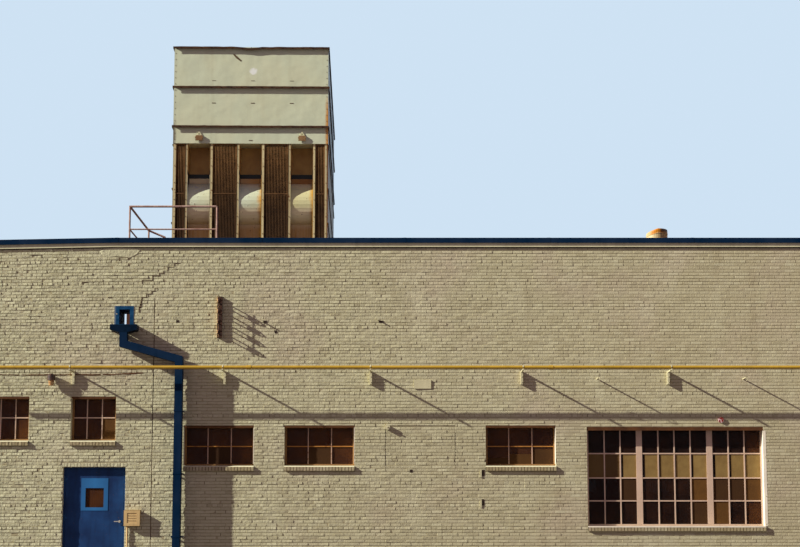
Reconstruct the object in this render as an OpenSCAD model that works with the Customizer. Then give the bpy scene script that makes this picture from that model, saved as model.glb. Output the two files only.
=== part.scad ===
// Single-storey brick factory building with a rooftop cooling unit.
// Millimetres. X runs along the street front, Y towards the rear, Z up.
// The origin is the middle of the footprint at ground level.
// Heights are above the ground, and places along the front are from its left end,
// unless a comment says otherwise.

/* [Building] */
// Length of the street front
building_w = 19200; // [19000:100:22000]
// Depth from the street front to the rear
building_d = 18400; // [17200:100:18600]
// Thickness of the brick walls
wall_t = 305; // [250:5:400]
// Top of the brickwork
masonry_h = 6980; // [6700:10:7400]
// How much the left corner has settled
settle = 60; // [0:5:90]
// Where the settled stretch ends
settle_run = 3500; // [2500:50:4500]

/* [Floor and roof] */
// Thickness of the concrete floor
floor_t = 100; // [60:5:150]
// Top of the flat roof
roof_top = 5090; // [4950:10:5200]
// Thickness of the roof deck
deck_t = 150; // [100:10:250]
// Depth of the roof beams
beam_h = 600; // [450:10:700]
// Width of a beam flange
beam_w = 220; // [150:5:260]
// Flange and web thickness of a beam
beam_t = 20; // [12:1:30]
// How far a beam end sits in the wall
beam_seat = 150; // [80:5:200]
// Number of roof beams
beam_count = 7; // [5:1:9]

/* [Coping] */
// Height of the blue fascia
coping_h = 107; // [90:1:140]
// Distance that the coping stands off the wall face
coping_out = 75; // [65:5:90]
// Thickness of the coping sheet as modelled
coping_t = 20; // [10:1:25]
// Height of the pale band under the fascia
band_h = 84; // [50:1:120]
// How far the pale band stands off the wall face
band_out = 42; // [20:1:44]

/* [Long row of windows] */
// Left edge of the first opening of the long row
strip_in = 5080; // [4900:10:5200]
// Width of an opening in the long row
strip_w = 1465; // [1200:5:1700]
// Spacing of the openings in the long row
strip_pitch = 2105; // [2000:5:2150]
// Bottom of the sashes in the long row
strip_z = 2190; // [2000:10:2400]
// Height of the sashes in the long row
strip_h = 838; // [600:2:1000]
// How far the bricked-up opening's face lies behind the wall face
infill_set = 2; // [1:1:60]
// Number of windows in a side wall
side_windows = 7; // [3:1:7]
// Number of windows in the rear wall
rear_windows = 8; // [5:1:8]

/* [Small windows] */
// Left edge of the small window over the door
small_in = 2706; // [2650:2:2750]
// Width of the two small windows
small_w = 943; // [800:1:1000]
// Spacing of the two small windows
small_pitch = 1820; // [1600:5:1900]
// Bottom of the small windows
small_z = 2713; // [2600:1:2900]
// Height of the small windows
small_h = 921; // [700:1:1100]

/* [Big window] */
// Left edge of the big window
big_in = 13510; // [13400:10:13700]
// Width of the big window
big_w = 3688; // [3200:2:3900]
// Bottom of the big window
big_z = 942; // [800:2:1200]
// Height of the big window
big_h = 2055; // [1700:5:2200]
// Panes in each of the two outer lights
outer_panes = 3; // [2:1:4]
// Panes in the middle light
inner_panes = 4; // [2:1:5]
// Face width of the mullions between the lights
mullion_w = 125; // [60:1:150]

/* [Window parts] */
// Height of the brick sills
sill_h = 108; // [80:1:130]
// How far the brick sills stand out
sill_out = 50; // [30:1:80]
// Fall of a sill's top towards its front edge
sill_fall = 27; // [10:1:50]
// Height of the steel angles over the windows
lintel_h = 42; // [30:1:60]
// Height of the steel angle over the big window
big_lintel_h = 73; // [50:1:100]
// Depth of the steel angles
lintel_d = 100; // [70:5:130]
// Thickness of the steel angles
lintel_t = 10; // [6:1:14]
// Distance from the wall face to the glass
glass_set = 200; // [170:5:240]
// Thickness of the glass
glass_t = 8; // [5:1:12]
// Face width of a sash frame
sash_w = 42; // [30:1:60]
// Depth of a sash frame
sash_d = 50; // [40:1:80]

/* [Door] */
// Left edge of the doorway
door_in = 2574; // [2540:2:2610]
// Width of the doorway
door_w = 1302; // [1200:2:1380]
// Top of the doorway
door_top = 2163; // [2100:1:2250]
// Face width of the door frame
jamb_w = 40; // [30:1:60]
// Depth of the door frame
jamb_d = 120; // [100:5:160]
// How far the frame laps behind the leaf
door_stop = 16; // [10:1:25]
// Distance from the wall face to the door
door_set = 100; // [60:5:120]
// Thickness of the door leaf
leaf_t = 45; // [38:1:60]
// Gap around the door leaf
leaf_gap = 5; // [5:0.5:8]
// Gap under the door leaf
leaf_foot_gap = 10; // [6:1:20]
// Width of the glass in the door
vision_w = 380; // [250:5:450]
// Height of the glass in the door
vision_h = 400; // [250:5:450]
// Bottom of the glass in the door
vision_z = 1329; // [1200:1:1450]
// Thickness of the glass in the door
vision_t = 6; // [4:1:10]
// Face width of the raised rim beside the door glass
rim_side = 91; // [40:1:120]
// Face width of the raised rim under the door glass
rim_foot = 67; // [40:1:120]
// Face width of the raised rim over the door glass
rim_head = 205; // [40:1:260]
// How far the rim stands off the leaf
rim_t = 6; // [3:1:10]
// Height of the door handle
handle_z = 1037; // [950:1:1100]
// Distance from the leaf's free edge to the handle
handle_in = 75; // [60:1:100]
// Length of the handle's lever
lever_l = 119; // [90:1:140]
// Radius of a hinge pin
hinge_pin_r = 5; // [4:0.5:7]
// Running clearance of a hinge pin
hinge_fit = 0.06; // [0.03:0.01:0.1]
// Radius of a hinge knuckle
knuckle_r = 9; // [8:0.5:10]
// Height of a hinge
hinge_h = 120; // [90:5:160]
// Distance of the outer hinges from the ends of the leaf
hinge_in = 200; // [150:5:300]
// Width of a hinge plate
hinge_plate_w = 36; // [25:1:39]
// Thickness of a hinge plate
hinge_plate_t = 4; // [3:0.5:5]

/* [Scupper] */
// Left edge of the scupper hole
scupper_in = 3665; // [3610:5:3700]
// Width of the scupper hole
scupper_w = 240; // [200:5:300]
// Height of the scupper hole's bottom over the roof
scupper_lift = 35; // [10:5:60]
// Height of the scupper hole
scupper_h = 361; // [280:1:420]
// Length of the scupper's throat from the wall face
throat_l = 800; // [500:10:900]
// Face plate left of the hole
plate_left = 92; // [40:1:120]
// Face plate right of the hole
plate_right = 74; // [40:1:120]
// Face plate over the hole
plate_head = 64; // [40:1:120]
// Thickness of the face plate
plate_t = 12; // [6:1:20]
// Sheet thickness of the scupper and the downspout as modelled
spout_t = 8; // [5:1:12]

/* [Downspout] */
// Middle of the upper stretch of the downspout
spout_in = 3810; // [3740:5:3840]
// Width of the collector box under the scupper
collector_w = 564; // [480:2:640]
// Height of the straight part of the collector box
collector_h = 110; // [80:5:200]
// Height of the funnel under the collector box
funnel_h = 60; // [30:1:120]
// Width of the downspout
spout_w = 157; // [120:1:180]
// Depth of the downspout
spout_d = 252; // [150:2:280]
// Gap between the downspout and the wall
spout_gap = 68; // [60:1:120]
// Length of the straight neck under the funnel
neck_l = 235; // [200:5:300]
// Sideways run of the slanting stretch
slant_run = 1170; // [1100:10:1300]
// Fall of the slanting stretch
slant_fall = 325; // [250:5:400]
// Clearance between the foot of the downspout and the ground
spout_foot = 40; // [20:5:100]
// Height of the lowest strap
strap_z = 700; // [500:10:900]
// Spacing of the straps
strap_pitch = 1300; // [1000:10:1400]
// Number of straps
strap_count = 3; // [2:1:3]
// Height of a strap
strap_h = 40; // [25:1:60]
// Thickness of a strap
strap_t = 5; // [3:1:8]
// Length of a strap's foot on the wall
strap_foot = 60; // [40:1:90]

/* [Gas pipe] */
// Radius of the gas pipe
pipe_r = 36; // [20:1:45]
// Distance from the wall face to the pipe's middle
pipe_out = 535; // [480:5:570]
// Height of the pipe's middle
pipe_z = 4199; // [4150:1:4280]
// Distance from the building's ends to the pipe's ends
pipe_end = 150; // [50:10:400]
// Radius of a pipe sleeve
sleeve_r = 43; // [35:1:60]
// Length of a pipe sleeve
sleeve_l = 90; // [60:5:140]
// Number of pipe sleeves
sleeve_count = 4; // [2:1:5]
// Length of a bracket arm
arm_l = 625; // [560:5:660]
// Width and height of a bracket arm
arm_w = 30; // [24:1:50]
// Width of a bracket's wall plate
bracket_w = 50; // [45:1:90]
// Depth of a bracket's wall plate
bracket_d = 84; // [40:1:120]
// Height of a bracket's wall plate
bracket_h = 277; // [200:1:320]

/* [Rack] */
// Middle of the rack
rack_in = 5800; // [5700:5:5900]
// Bottom of the rack
rack_z = 4870; // [4800:5:5000]
// Height of the rack
rack_h = 872; // [700:1:1000]
// Width of the rack's back plate
rack_w = 100; // [60:1:140]
// Depth of the rack's back plate
rack_d = 70; // [40:1:100]
// Number of clevises on the rack
clevis_count = 4; // [2:1:6]
// Reach of a clevis from the wall face
clevis_l = 300; // [270:5:350]
// Height of a clevis over both its arms
clevis_h = 98; // [80:2:120]
// Width of a clevis
clevis_w = 22; // [12:1:30]
// Thickness of a clevis arm
clevis_t = 14; // [8:1:18]
// Distance from the wall face to the rod through the clevises
rod_out = 215; // [190:5:230]
// Radius of the rod
rod_r = 8; // [5:1:10]
// Radius of a spool between the arms of a clevis
spool_r = 38; // [25:1:45]

/* [Lamp and electric box] */
// Middle of the wall lamp
lamp_in = 2295; // [2200:5:2350]
// Bottom of the lamp's lens
lamp_z = 3857; // [3800:1:3950]
// Height of the lens under the shade
lens_h = 110; // [80:1:140]
// Radius of the lens at its foot
lens_foot_r = 50; // [40:1:60]
// Radius of the lens under the shade
lens_r = 62; // [50:1:75]
// Radius of the shade
shade_r = 82; // [76:1:100]
// Height of the shade
shade_h = 115; // [80:1:150]
// Radius of the crown on the shade
crown_r = 36; // [25:1:45]
// Height of the crown on the shade
crown_h = 27; // [15:1:50]
// Distance from the wall face to the lamp's middle
lamp_out = 110; // [105:1:160]
// Left edge of the electric box
box_in = 3876; // [3876:2:3950]
// Width of the electric box
box_w = 330; // [280:1:360]
// Bottom of the electric box
box_z = 942; // [900:1:1000]
// Height of the electric box
box_h = 320; // [280:1:360]
// Depth of the electric box
box_d = 130; // [80:1:150]
// Width of the louvred panel in the box
louvre_w = 198; // [150:1:220]
// Height of the louvred panel in the box
louvre_h = 206; // [150:1:220]
// Depth of the louvred panel's recess
louvre_d = 15; // [8:1:25]
// Number of louvres
louvre_count = 6; // [3:1:8]
// Radius of the conduit below the box
conduit_r = 18; // [12:1:25]
// Distance from the box's left edge to the conduit
conduit_in = 62; // [40:1:100]

/* [Wall fittings] */
// Left edge of the flat cover
cover_in = 9894; // [9800:2:10000]
// Width of the flat cover
cover_w = 357; // [300:1:400]
// Bottom of the flat cover
cover_z = 3800; // [3700:1:3830]
// Height of the flat cover
cover_h = 183; // [120:1:200]
// Thickness of the flat cover
cover_t = 25; // [10:1:40]
// Height of the two old pipe hooks
hook_z = 4004; // [3950:1:4100]
// Reach of the two old pipe hooks
hook_l = 450; // [380:5:480]
// Radius of the hooks and pegs
peg_r = 14; // [8:1:20]
// Radius of a hook's eye
eye_r = 38; // [25:1:50]

/* [Roof vent] */
// Middle of the roof vent
vent_in = 15258; // [15100:2:15400]
// Distance from the street front to the vent
vent_back = 1500; // [1000:50:2500]
// Radius of the roof vent
vent_r = 235; // [180:5:300]
// Height of the roof vent over the roof
vent_h = 2380; // [2200:10:2600]
// Wall thickness of the vent
vent_t = 12; // [8:1:20]
// Height of the vent's rim
vent_rim_h = 60; // [40:1:100]
// How far the vent's rim stands out
vent_rim_out = 14; // [8:1:30]
// Width of the vent's foot flange
vent_foot = 60; // [40:1:90]

/* [Service platform] */
// Left edge of the platform
platform_in = 3540; // [3400:5:3600]
// Distance from the street front to the platform
platform_back = 2000; // [1900:10:2100]
// Width of the platform
platform_w = 1950; // [1800:10:2100]
// Depth of the platform
platform_d = 3260; // [3000:10:3400]
// Height of the platform's deck over the roof
platform_h = 1890; // [1700:10:1930]
// Thickness of the platform's deck
tread_t = 40; // [25:1:60]
// Height of the platform's edge beams
edge_h = 140; // [100:5:180]
// Width of the platform's posts and edge beams
stand_w = 80; // [60:1:100]
// Thickness of a foot plate
foot_t = 12; // [8:1:20]
// How far a foot plate reaches past its post
foot_lap = 40; // [20:1:60]
// Height of the top rail over the deck
rail_h = 1073; // [950:1:1100]
// Height of the middle rail over the deck
mid_rail_h = 558; // [450:1:600]
// Radius of the top rail
rail_r = 24; // [22:1:30]
// Radius of the rail posts
stanchion_r = 21; // [18:1:21]
// Radius of the middle rail
mid_rail_r = 17; // [12:1:17]
// Radius of the bend at the front right corner
rail_bend = 90; // [60:1:140]
// Length of the return rail at the rear
return_run = 400; // [300:5:500]
// Fall of the return rail
return_fall = 170; // [100:5:250]

/* [Cooling unit] */
// Middle of the unit
unit_in = 5925; // [5800:5:6100]
// Distance from the street front to the unit's posts
unit_back = 6000; // [5700:20:6200]
// Turn of the unit off square in degrees
unit_turn = 1.2; // [0:0.1:2]
// Width of the unit's casing
unit_w = 3805; // [3790:5:3900]
// Depth of the unit's casing
unit_d = 10400; // [9800:50:10600]
// Height of the unit's pan over the roof
unit_lift = 2760; // [2600:10:2850]
// Thickness of the pan
pan_t = 60; // [30:1:90]
// Height of the fan section over the pan's underside
fan_h = 2501; // [2450:1:2600]
// Height of the lower band of the casing
lower_h = 442; // [380:1:500]
// Height of the middle band of the casing
middle_h = 993; // [900:1:1100]
// Height of the upper band of the casing
upper_h = 999; // [900:1:1100]
// Wall thickness of the casing as modelled
casing_t = 40; // [20:1:60]
// How far the bands stand in front of the posts
front_out = 20; // [0:1:40]
// Height of the lips at the top of the bands
lip_h = 55; // [40:1:80]
// How far the lips stand out at the front
lip_out = 65; // [40:1:90]
// How far the lips stand out at the sides
lip_side = 30; // [15:1:50]
// Thickness of the lips
lip_t = 8; // [5:1:12]
// Heights of the seam rails over the pan's underside
seam_low = 550; // [400:10:700]
// Height of the upper seam rail over the pan's underside
seam_high = 1400; // [1200:10:1600]
// Height of a seam rail
seam_h = 35; // [20:1:50]
// How far a seam rail stands out
seam_out = 22; // [10:1:40]

/* [Fan section] */
// Width of a fan bay between the middles of its posts
fan_bay = 615; // [580:5:630]
// Width of a screened bay between the middles of its posts
mesh_bay = 649; // [620:1:665]
// Width of the two end bays
end_bay = 286; // [250:1:290]
// Width of a post
post_w = 60; // [40:2:70]
// Depth of a post
post_d = 60; // [40:2:80]
// Sheet thickness of the posts and the fan housings as modelled
sheet_t = 6; // [4:1:8]
// Depth of the open fan section
fan_d = 1750; // [1500:10:2200]
// Height of the fan axes over the pan's underside
axis_h = 1000; // [950:10:1020]
// Gap between the front plane and the fan housings
scroll_set = 15; // [5:1:60]
// Distance from the fan axis to the cut-off of its housing
cut_r = 400; // [380:5:420]
// Where the cut-off lies, in degrees up from the rear
cut_angle = 60; // [50:1:65]
// How much further from the axis the wrapper ends
wrap_gain = 190; // [150:5:200]
// Gap round a fan outlet where it passes through the housing's wall
outlet_gap = 0.5; // [0.2:0.1:1]
// Radius of a fan inlet
inlet_r = 300; // [240:5:320]
// Radius of the bell mouth round an inlet
bell_r = 40; // [20:1:45]
// Height of the flange where a back panel meets its fan housing
flange_h = 130; // [80:1:160]
// Depth of that flange
flange_d = 40; // [20:1:60]
// Height of the screens' middle rail over the pan's underside
mesh_rail = 1240; // [1100:10:1400]
// Width of the bars of a screen's frame
mesh_frame = 25; // [15:1:35]
// Gap at a weld, which keeps welded bars and panels apart as solids
weld_gap = 0.2; // [0.1:0.1:0.5]
// Distance from the front plane to the screens
mesh_set = 20; // [5:1:40]

/* [Lifting lugs] */
// Height of a lug over the bottom of the lower band
lug_z = 62; // [40:1:100]
// Width of a lug's bracket
lug_w = 210; // [150:1:240]
// Height of a lug's bracket
lug_h = 130; // [100:1:160]
// Depth of a lug's bracket
lug_d = 60; // [40:1:80]
// Radius of a lug's ring
lug_ring = 55; // [40:1:70]
// Radius of the bar of a lug's ring
lug_bar = 14; // [8:1:20]

/* [Eliminators] */
// Distance from the top of the casing to the eliminators
blade_drop = 260; // [150:10:500]
// Spacing of the eliminator blades
blade_pitch = 150; // [120:5:250]
// Height of an eliminator blade
blade_h = 140; // [100:5:180]
// Sideways throw of an eliminator blade
blade_throw = 50; // [20:1:70]
// Thickness of an eliminator blade
blade_t = 5; // [3:1:8]
// Number of rails under the blades
blade_rails = 5; // [3:1:8]

/* [Legs] */
// Depth of the unit's carrying beams
carrier_h = 250; // [200:5:300]
// Width of the carrying beams and the columns
carrier_w = 200; // [150:5:250]
// Flange and web thickness of the carrying beams and the columns
carrier_t = 20; // [12:1:25]
// Distance from the unit's side to the outer carrying beams
carrier_in = 200; // [130:5:400]
// Number of columns under a carrying beam
column_count = 4; // [3:1:6]
// Distance from a carrying beam's end to its outer columns
column_in = 250; // [150:5:500]

/* [Hidden] */
$fn = 48;
// Cutters reach this far past the faces that they cut
eps = 1;

brick = "#b9ad8b";
blue = "#17508f";
cream = "#c9bf9a";
rust = "#6b3d22";
glass = "#3a342c";
sash_grey = "#b7b8b0";

// Main planes
left_x = -building_w / 2;
right_x = building_w / 2;
front_y = -building_d / 2;
rear_y = building_d / 2;
inner_w = building_w - 2 * wall_t;
inner_d = building_d - 2 * wall_t;
crest_x = left_x + settle_run;
bearing_z = roof_top - deck_t - beam_h;
beam_pitch = building_w / (beam_count + 1);
beam_x = [for (i = [1 : beam_count]) left_x + i * beam_pitch];
fascia_h = coping_h - coping_t;

// Each opening is its left edge, its bottom, its width and its height.
small_windows = [for (i = [0, 1]) [left_x + small_in - i * small_pitch, small_z, small_w, small_h]];
strip_row = [for (i = [0 : 3]) [left_x + strip_in + i * strip_pitch, strip_z, strip_w, strip_h]];
strip_windows = [strip_row[0], strip_row[1], strip_row[3]];
infill = strip_row[2];
big_window = [left_x + big_in, big_z, big_w, big_h];
side_row = row_of(side_windows);
rear_row = row_of(rear_windows);
door_x = left_x + door_in;
door_right = door_x + door_w;
big_x = big_window[0];
big_right = big_x + big_w;
light_count = 2 * outer_panes + inner_panes;

// Door
leaf_w = door_w - 2 * jamb_w - 2 * leaf_gap;
leaf_x = door_x + jamb_w + leaf_gap;
leaf_right = leaf_x + leaf_w;
leaf_z = floor_t + leaf_foot_gap;
leaf_h = door_top - jamb_w - leaf_gap - leaf_z;
vision_x = leaf_x + (leaf_w - vision_w) / 2;
hinge_x = leaf_x - leaf_gap / 2;
hinge_back = knuckle_r + 2;
hinge_z = [leaf_z + hinge_in, leaf_z + leaf_h / 2, leaf_z + leaf_h - hinge_in];
knuckle_h = hinge_h / 3;
knuckle_gap = 1;
pin_head = 6;
rose_r = 26;
rose_t = 8;
lever_out = 50;
lever_w = 18;
lever_t = 12;

// Lamp
lamp_plate_t = 10;

// Scupper and downspout
scupper_x = left_x + scupper_in;
scupper_z = roof_top + scupper_lift;
spout_x = left_x + spout_in;
drop_x = spout_x + slant_run;
spout_front = spout_gap + spout_d;
funnel_z = scupper_z - collector_h - funnel_h;
neck_z = funnel_z - neck_l;
spout_path = [[spout_x, funnel_z], [spout_x, neck_z], [drop_x, neck_z - slant_fall], [drop_x, spout_foot]];

// Places of the pipe brackets and the small fittings, read off the wall. The last bracket keeps its
// distance from the right-hand end. A peg has its reach, and the stub and the cap have their reach
// and radius.
last_bracket = 880;
bracket_in = [2750, 5922, 8986, 12154, 15230, building_w - last_bracket];
hook_in = [13738, 16805];
peg_at = [[6709, 5210, 110], [9136, 5252, 80]];
stub_at = [9338, 2990, 80, 55];
stub_tip = 112;
cap_at = [16316, 3143, 40, 58];
clip_at = [[11285, 1395], [11285, 2020]];
clip_size = [36, 22, 150];
arm_top = pipe_z - pipe_r;

// Roof pieces
vent_x = left_x + vent_in;
vent_y = front_y + vent_back;
platform_x = left_x + platform_in;
platform_y = front_y + platform_back;
platform_z = roof_top + platform_h;

// Cooling unit, in its own frame: X from its middle, Y from the front plane of its posts
unit_x = left_x + unit_in;
unit_y = front_y + unit_back;
unit_z = roof_top + unit_lift;
pan_top = unit_z + pan_t;
fan_top = unit_z + fan_h;
lower_top = fan_top + lower_h;
middle_top = lower_top + middle_h;
upper_top = middle_top + upper_h;
half_w = unit_w / 2;
fan_x = [for (i = [-1, 0, 1]) i * (fan_bay + mesh_bay)];
post_x = concat(
    [fan_x[0] - fan_bay / 2 - end_bay],
    [for (x = fan_x) for (s = [-1, 1]) x + s * fan_bay / 2],
    [fan_x[2] + fan_bay / 2 + end_bay]
);
seam_z = [unit_z + seam_low, unit_z + seam_high, fan_top];
carrier_x = [-half_w + carrier_in, 0, half_w - carrier_in];
column_pitch = (unit_d - 2 * column_in) / (column_count - 1);

// The fan housing's wrapper is a spiral that turns from the cut-off round to the outlet's top.
scroll_half = (fan_bay - post_w) / 2;
wrap_turn = 270 + cut_angle;
wrap_step = wrap_turn / 33;
front_turn = 180 + cut_angle;
axis_y = scroll_set + wrap_r(front_turn);
axis_z = unit_z + axis_h;
outlet_run = fan_d - axis_y;
outlet_low = cut_r * sin(cut_angle);
outlet_high = wrap_r(wrap_turn);
nose_r = 2 * sheet_t;
apron_y = cut_r / 2;

function wrap_r(a) = cut_r + wrap_gain * a / wrap_turn;
function wrap_at(a, inset) = (wrap_r(a) - inset) * [cos(cut_angle - a), sin(cut_angle - a)];

function row_of(n) = [for (i = [0 : n - 1])
    [(i - (n - 1) / 2) * strip_pitch - strip_w / 2, strip_z, strip_w, strip_h]];

// Top of the street front's brickwork, which falls to the settled left corner
function wall_top(x) = x <= left_x + wall_t ? masonry_h - settle
    : x >= crest_x ? masonry_h
    : masonry_h - settle * (crest_x - x) / (crest_x - left_x - wall_t);

// Points of a mitred strip of width w along a path of points in a plane
function unit_vec(v) = v / norm(v);
function normal_of(v) = [-v[1], v[0]];
function mitre(path, i, w) =
    let (
        a = i > 0 ? normal_of(unit_vec(path[i] - path[i - 1])) : undef,
        b = i < len(path) - 1 ? normal_of(unit_vec(path[i + 1] - path[i])) : undef
    )
    a == undef ? b * w / 2
    : b == undef ? a * w / 2
    : unit_vec(a + b) * w / 2 / (unit_vec(a + b) * a);
function strip(path, w) = concat(
    [for (i = [0 : len(path) - 1]) path[i] + mitre(path, i, w)],
    [for (i = [len(path) - 1 : -1 : 0]) path[i] - mitre(path, i, w)]
);

// A flat outline drawn in X and Z, as thick as d, with its front at y
module upright(y, d) {
    translate([0, y + d, 0]) rotate([90, 0, 0]) linear_extrude(d) children();
}

module block(x0, x1, y0, y1, z0, z1) {
    translate([x0, y0, z0]) cube([x1 - x0, y1 - y0, z1 - z0]);
}

module tube(a, b, r) {
    v = b - a;
    translate(a) rotate([0, acos(v[2] / norm(v)), atan2(v[1], v[0])]) cylinder(r = r, h = norm(v));
}

module ring(big_r, small_r) {
    rotate_extrude() translate([big_r, 0]) circle(small_r);
}

module i_section(h, w, t) {
    for (z = [0, h - t]) translate([-w / 2, z]) square([w, t]);
    translate([-t / 2, 0]) square([t, h]);
}

// Each wall is drawn as seen from its outside, with its face at y = 0, and then moved into place.
module on_front() { translate([0, front_y, 0]) children(); }
module on_left() { translate([left_x, 0, 0]) rotate([0, 0, -90]) children(); }
module on_right() { translate([right_x, 0, 0]) rotate([0, 0, 90]) children(); }
module on_rear() { translate([0, rear_y, 0]) rotate([0, 0, 180]) children(); }
module on_unit() { translate([unit_x, unit_y, 0]) rotate([0, 0, unit_turn]) children(); }

// Walls

module holes(windows) {
    for (w = windows) translate([w[0], w[1]]) square([w[2], w[3]]);
}

// A piece of the street front between two heights, which follows the settled top
module wall_piece(x0, x1, z0, z1, windows = []) {
    corner_x = left_x + wall_t;
    bends = [for (x = [crest_x, corner_x]) if (x > x0 && x < x1) [x, min(z1, wall_top(x))]];
    on_front() upright(0, wall_t) difference() {
        polygon(concat([[x0, z0], [x1, z0], [x1, min(z1, wall_top(x1))]], bends,
                       [[x0, min(z1, wall_top(x0))]]));
        holes(windows);
    }
}

module sills(windows) {
    for (w = windows)
        translate([w[0], 0, w[1] - sill_h]) rotate([90, 0, 90]) linear_extrude(w[2])
            polygon([[0, 0], [-sill_out, 0], [-sill_out, sill_h - sill_fall], [0, sill_h]]);
}

module wall_front_left() {
    color(brick) {
        wall_piece(left_x, door_x, 0, bearing_z, [small_windows[1]]);
        on_front() sills([small_windows[1]]);
    }
}

module wall_over_door() {
    color(brick) {
        wall_piece(door_x, door_right, door_top, bearing_z, [small_windows[0]]);
        on_front() sills([small_windows[0]]);
    }
}

module wall_front_middle() {
    color(brick) {
        wall_piece(door_right, big_x, 0, bearing_z, strip_row);
        on_front() sills(strip_windows);
    }
}

// The brickwork under and over the big window
module wall_big_window_bay() {
    color(brick) {
        wall_piece(big_x, big_right, 0, big_z);
        wall_piece(big_x, big_right, big_z + big_h, bearing_z);
        on_front() sills([big_window]);
    }
}

module wall_front_right() {
    color(brick) wall_piece(big_right, right_x, 0, bearing_z);
}

module beam_pockets() {
    for (x = beam_x)
        block(x - beam_w / 2, x + beam_w / 2, front_y + wall_t - beam_seat, rear_y - wall_t + beam_seat,
              bearing_z, bearing_z + beam_h);
}

// The upper wall rests on the lower pieces and is notched over the beam ends
module wall_front_upper() {
    color(brick) difference() {
        wall_piece(left_x, right_x, bearing_z, masonry_h, [[scupper_x, scupper_z, scupper_w, scupper_h]]);
        beam_pockets();
    }
}

module side_wall(h) {
    upright(0, wall_t) difference() {
        translate([-inner_d / 2, 0]) square([inner_d, h]);
        holes(side_row);
    }
    sills(side_row);
}

module walls_side() {
    color(brick) {
        on_left() side_wall(masonry_h - settle);
        on_right() side_wall(masonry_h);
    }
}

module wall_rear() {
    low = masonry_h - settle;
    color(brick) difference() {
        on_rear() {
            upright(0, wall_t) difference() {
                polygon([[-right_x, 0], [right_x, 0], [right_x, low], [right_x - wall_t, low],
                         [-crest_x, masonry_h], [-right_x, masonry_h]]);
                holes(rear_row);
            }
            sills(rear_row);
        }
        beam_pockets();
    }
}

module brick_infill() {
    color(brick) on_front() upright(infill_set, wall_t - infill_set) holes([infill]);
}

// Floor and roof

module floor_slab() {
    color("#8f8a80") {
        block(-inner_w / 2, inner_w / 2, -inner_d / 2, inner_d / 2, 0, floor_t);
        block(door_x, door_right, front_y, -inner_d / 2, 0, floor_t);
    }
}

module roof_deck() {
    color("#4a4845") block(-inner_w / 2, inner_w / 2, -inner_d / 2, inner_d / 2, roof_top - deck_t, roof_top);
}

module roof_beams() {
    length = inner_d + 2 * beam_seat;
    color(rust) for (x = beam_x)
        translate([x, 0, bearing_z]) upright(-length / 2, length) i_section(beam_h, beam_w, beam_t);
}

// Coping

// A strip that follows the top of the front wall, from low to high above it
module along_top(y, d, low, high, x0, x1) {
    xs = [x0, left_x + wall_t, crest_x, x1];
    upright(y, d) polygon(concat(
        [for (x = xs) [x, wall_top(x) + low]],
        [for (i = [3 : -1 : 0]) [xs[i], wall_top(xs[i]) + high]]
    ));
}

module coping_run() {
    out = coping_out;
    along_top(front_y - out, wall_t + 2 * out, 0, coping_t, left_x - out, right_x + out);
    along_top(front_y - out, coping_t, -fascia_h, 0, left_x - out, right_x + out);
    along_top(front_y + wall_t + out - coping_t, coping_t, -fascia_h, 0, left_x + wall_t, right_x - wall_t);
}

module coping_front() { color(blue) coping_run(); }
module coping_rear() { color(blue) mirror([0, 1, 0]) coping_run(); }

module coping_side(h) {
    long = building_d + 2 * (coping_out - coping_t);
    short = building_d - 2 * (wall_t + coping_out);
    inside = wall_t + coping_out - coping_t;
    translate([0, 0, h]) {
        block(-short / 2, short / 2, -coping_out, wall_t + coping_out, 0, coping_t);
        block(-short / 2, short / 2, inside, inside + coping_t, -fascia_h, 0);
        block(-long / 2, long / 2, -coping_out, coping_t - coping_out, -fascia_h, 0);
    }
}

module copings_side() {
    color(blue) {
        on_left() coping_side(masonry_h - settle);
        on_right() coping_side(masonry_h);
    }
}

module band_front() {
    color(cream) along_top(front_y - band_out, band_out, -fascia_h - band_h, 0, left_x, right_x);
}

// Windows

module sash(w) {
    translate([w[0], glass_set - sash_d / 2, w[1]]) difference() {
        cube([w[2], sash_d, w[3]]);
        translate([sash_w, -eps, sash_w]) cube([w[2] - 2 * sash_w, sash_d + 2 * eps, w[3] - 2 * sash_w]);
        translate([sash_w / 2, (sash_d - glass_t) / 2, sash_w / 2])
            cube([w[2] - sash_w, glass_t, w[3] - sash_w]);
    }
}

module pane(w) {
    translate([w[0] + sash_w / 2, glass_set - glass_t / 2, w[1] + sash_w / 2])
        cube([w[2] - sash_w, glass_t, w[3] - sash_w]);
}

// A steel angle under the brickwork at the head of an opening
module lintel(w, h) {
    translate([w[0], 0, w[1] + w[3]]) {
        translate([0, 0, -h]) cube([w[2], lintel_t, h]);
        translate([0, 0, -lintel_t]) cube([w[2], lintel_d, lintel_t]);
    }
}

module lintel_angles() {
    color(rust) {
        on_front() {
            for (w = concat(small_windows, strip_windows)) lintel(w, lintel_h);
            lintel(big_window, big_lintel_h);
        }
        on_left() for (w = side_row) lintel(w, lintel_h);
        on_right() for (w = side_row) lintel(w, lintel_h);
        on_rear() for (w = rear_row) lintel(w, lintel_h);
    }
}

// The sashes of every window but the big one
module window_sashes() {
    color(sash_grey) {
        on_front() for (w = concat(small_windows, strip_windows)) sash(w);
        on_left() for (w = side_row) sash(w);
        on_right() for (w = side_row) sash(w);
        on_rear() for (w = rear_row) sash(w);
    }
}

// Two mullions stand in front of and behind the glass, between the three lights
module big_window_sash() {
    depth = (sash_d - glass_t) / 2;
    color(sash_grey) on_front() {
        sash(big_window);
        for (n = [outer_panes, outer_panes + inner_panes]) {
            x = big_x + big_w * n / light_count;
            for (y = [glass_set - sash_d / 2, glass_set + glass_t / 2])
                block(x - mullion_w / 2, x + mullion_w / 2, y, y + depth,
                      big_z + sash_w, big_z + big_h - sash_w);
        }
    }
}

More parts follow.
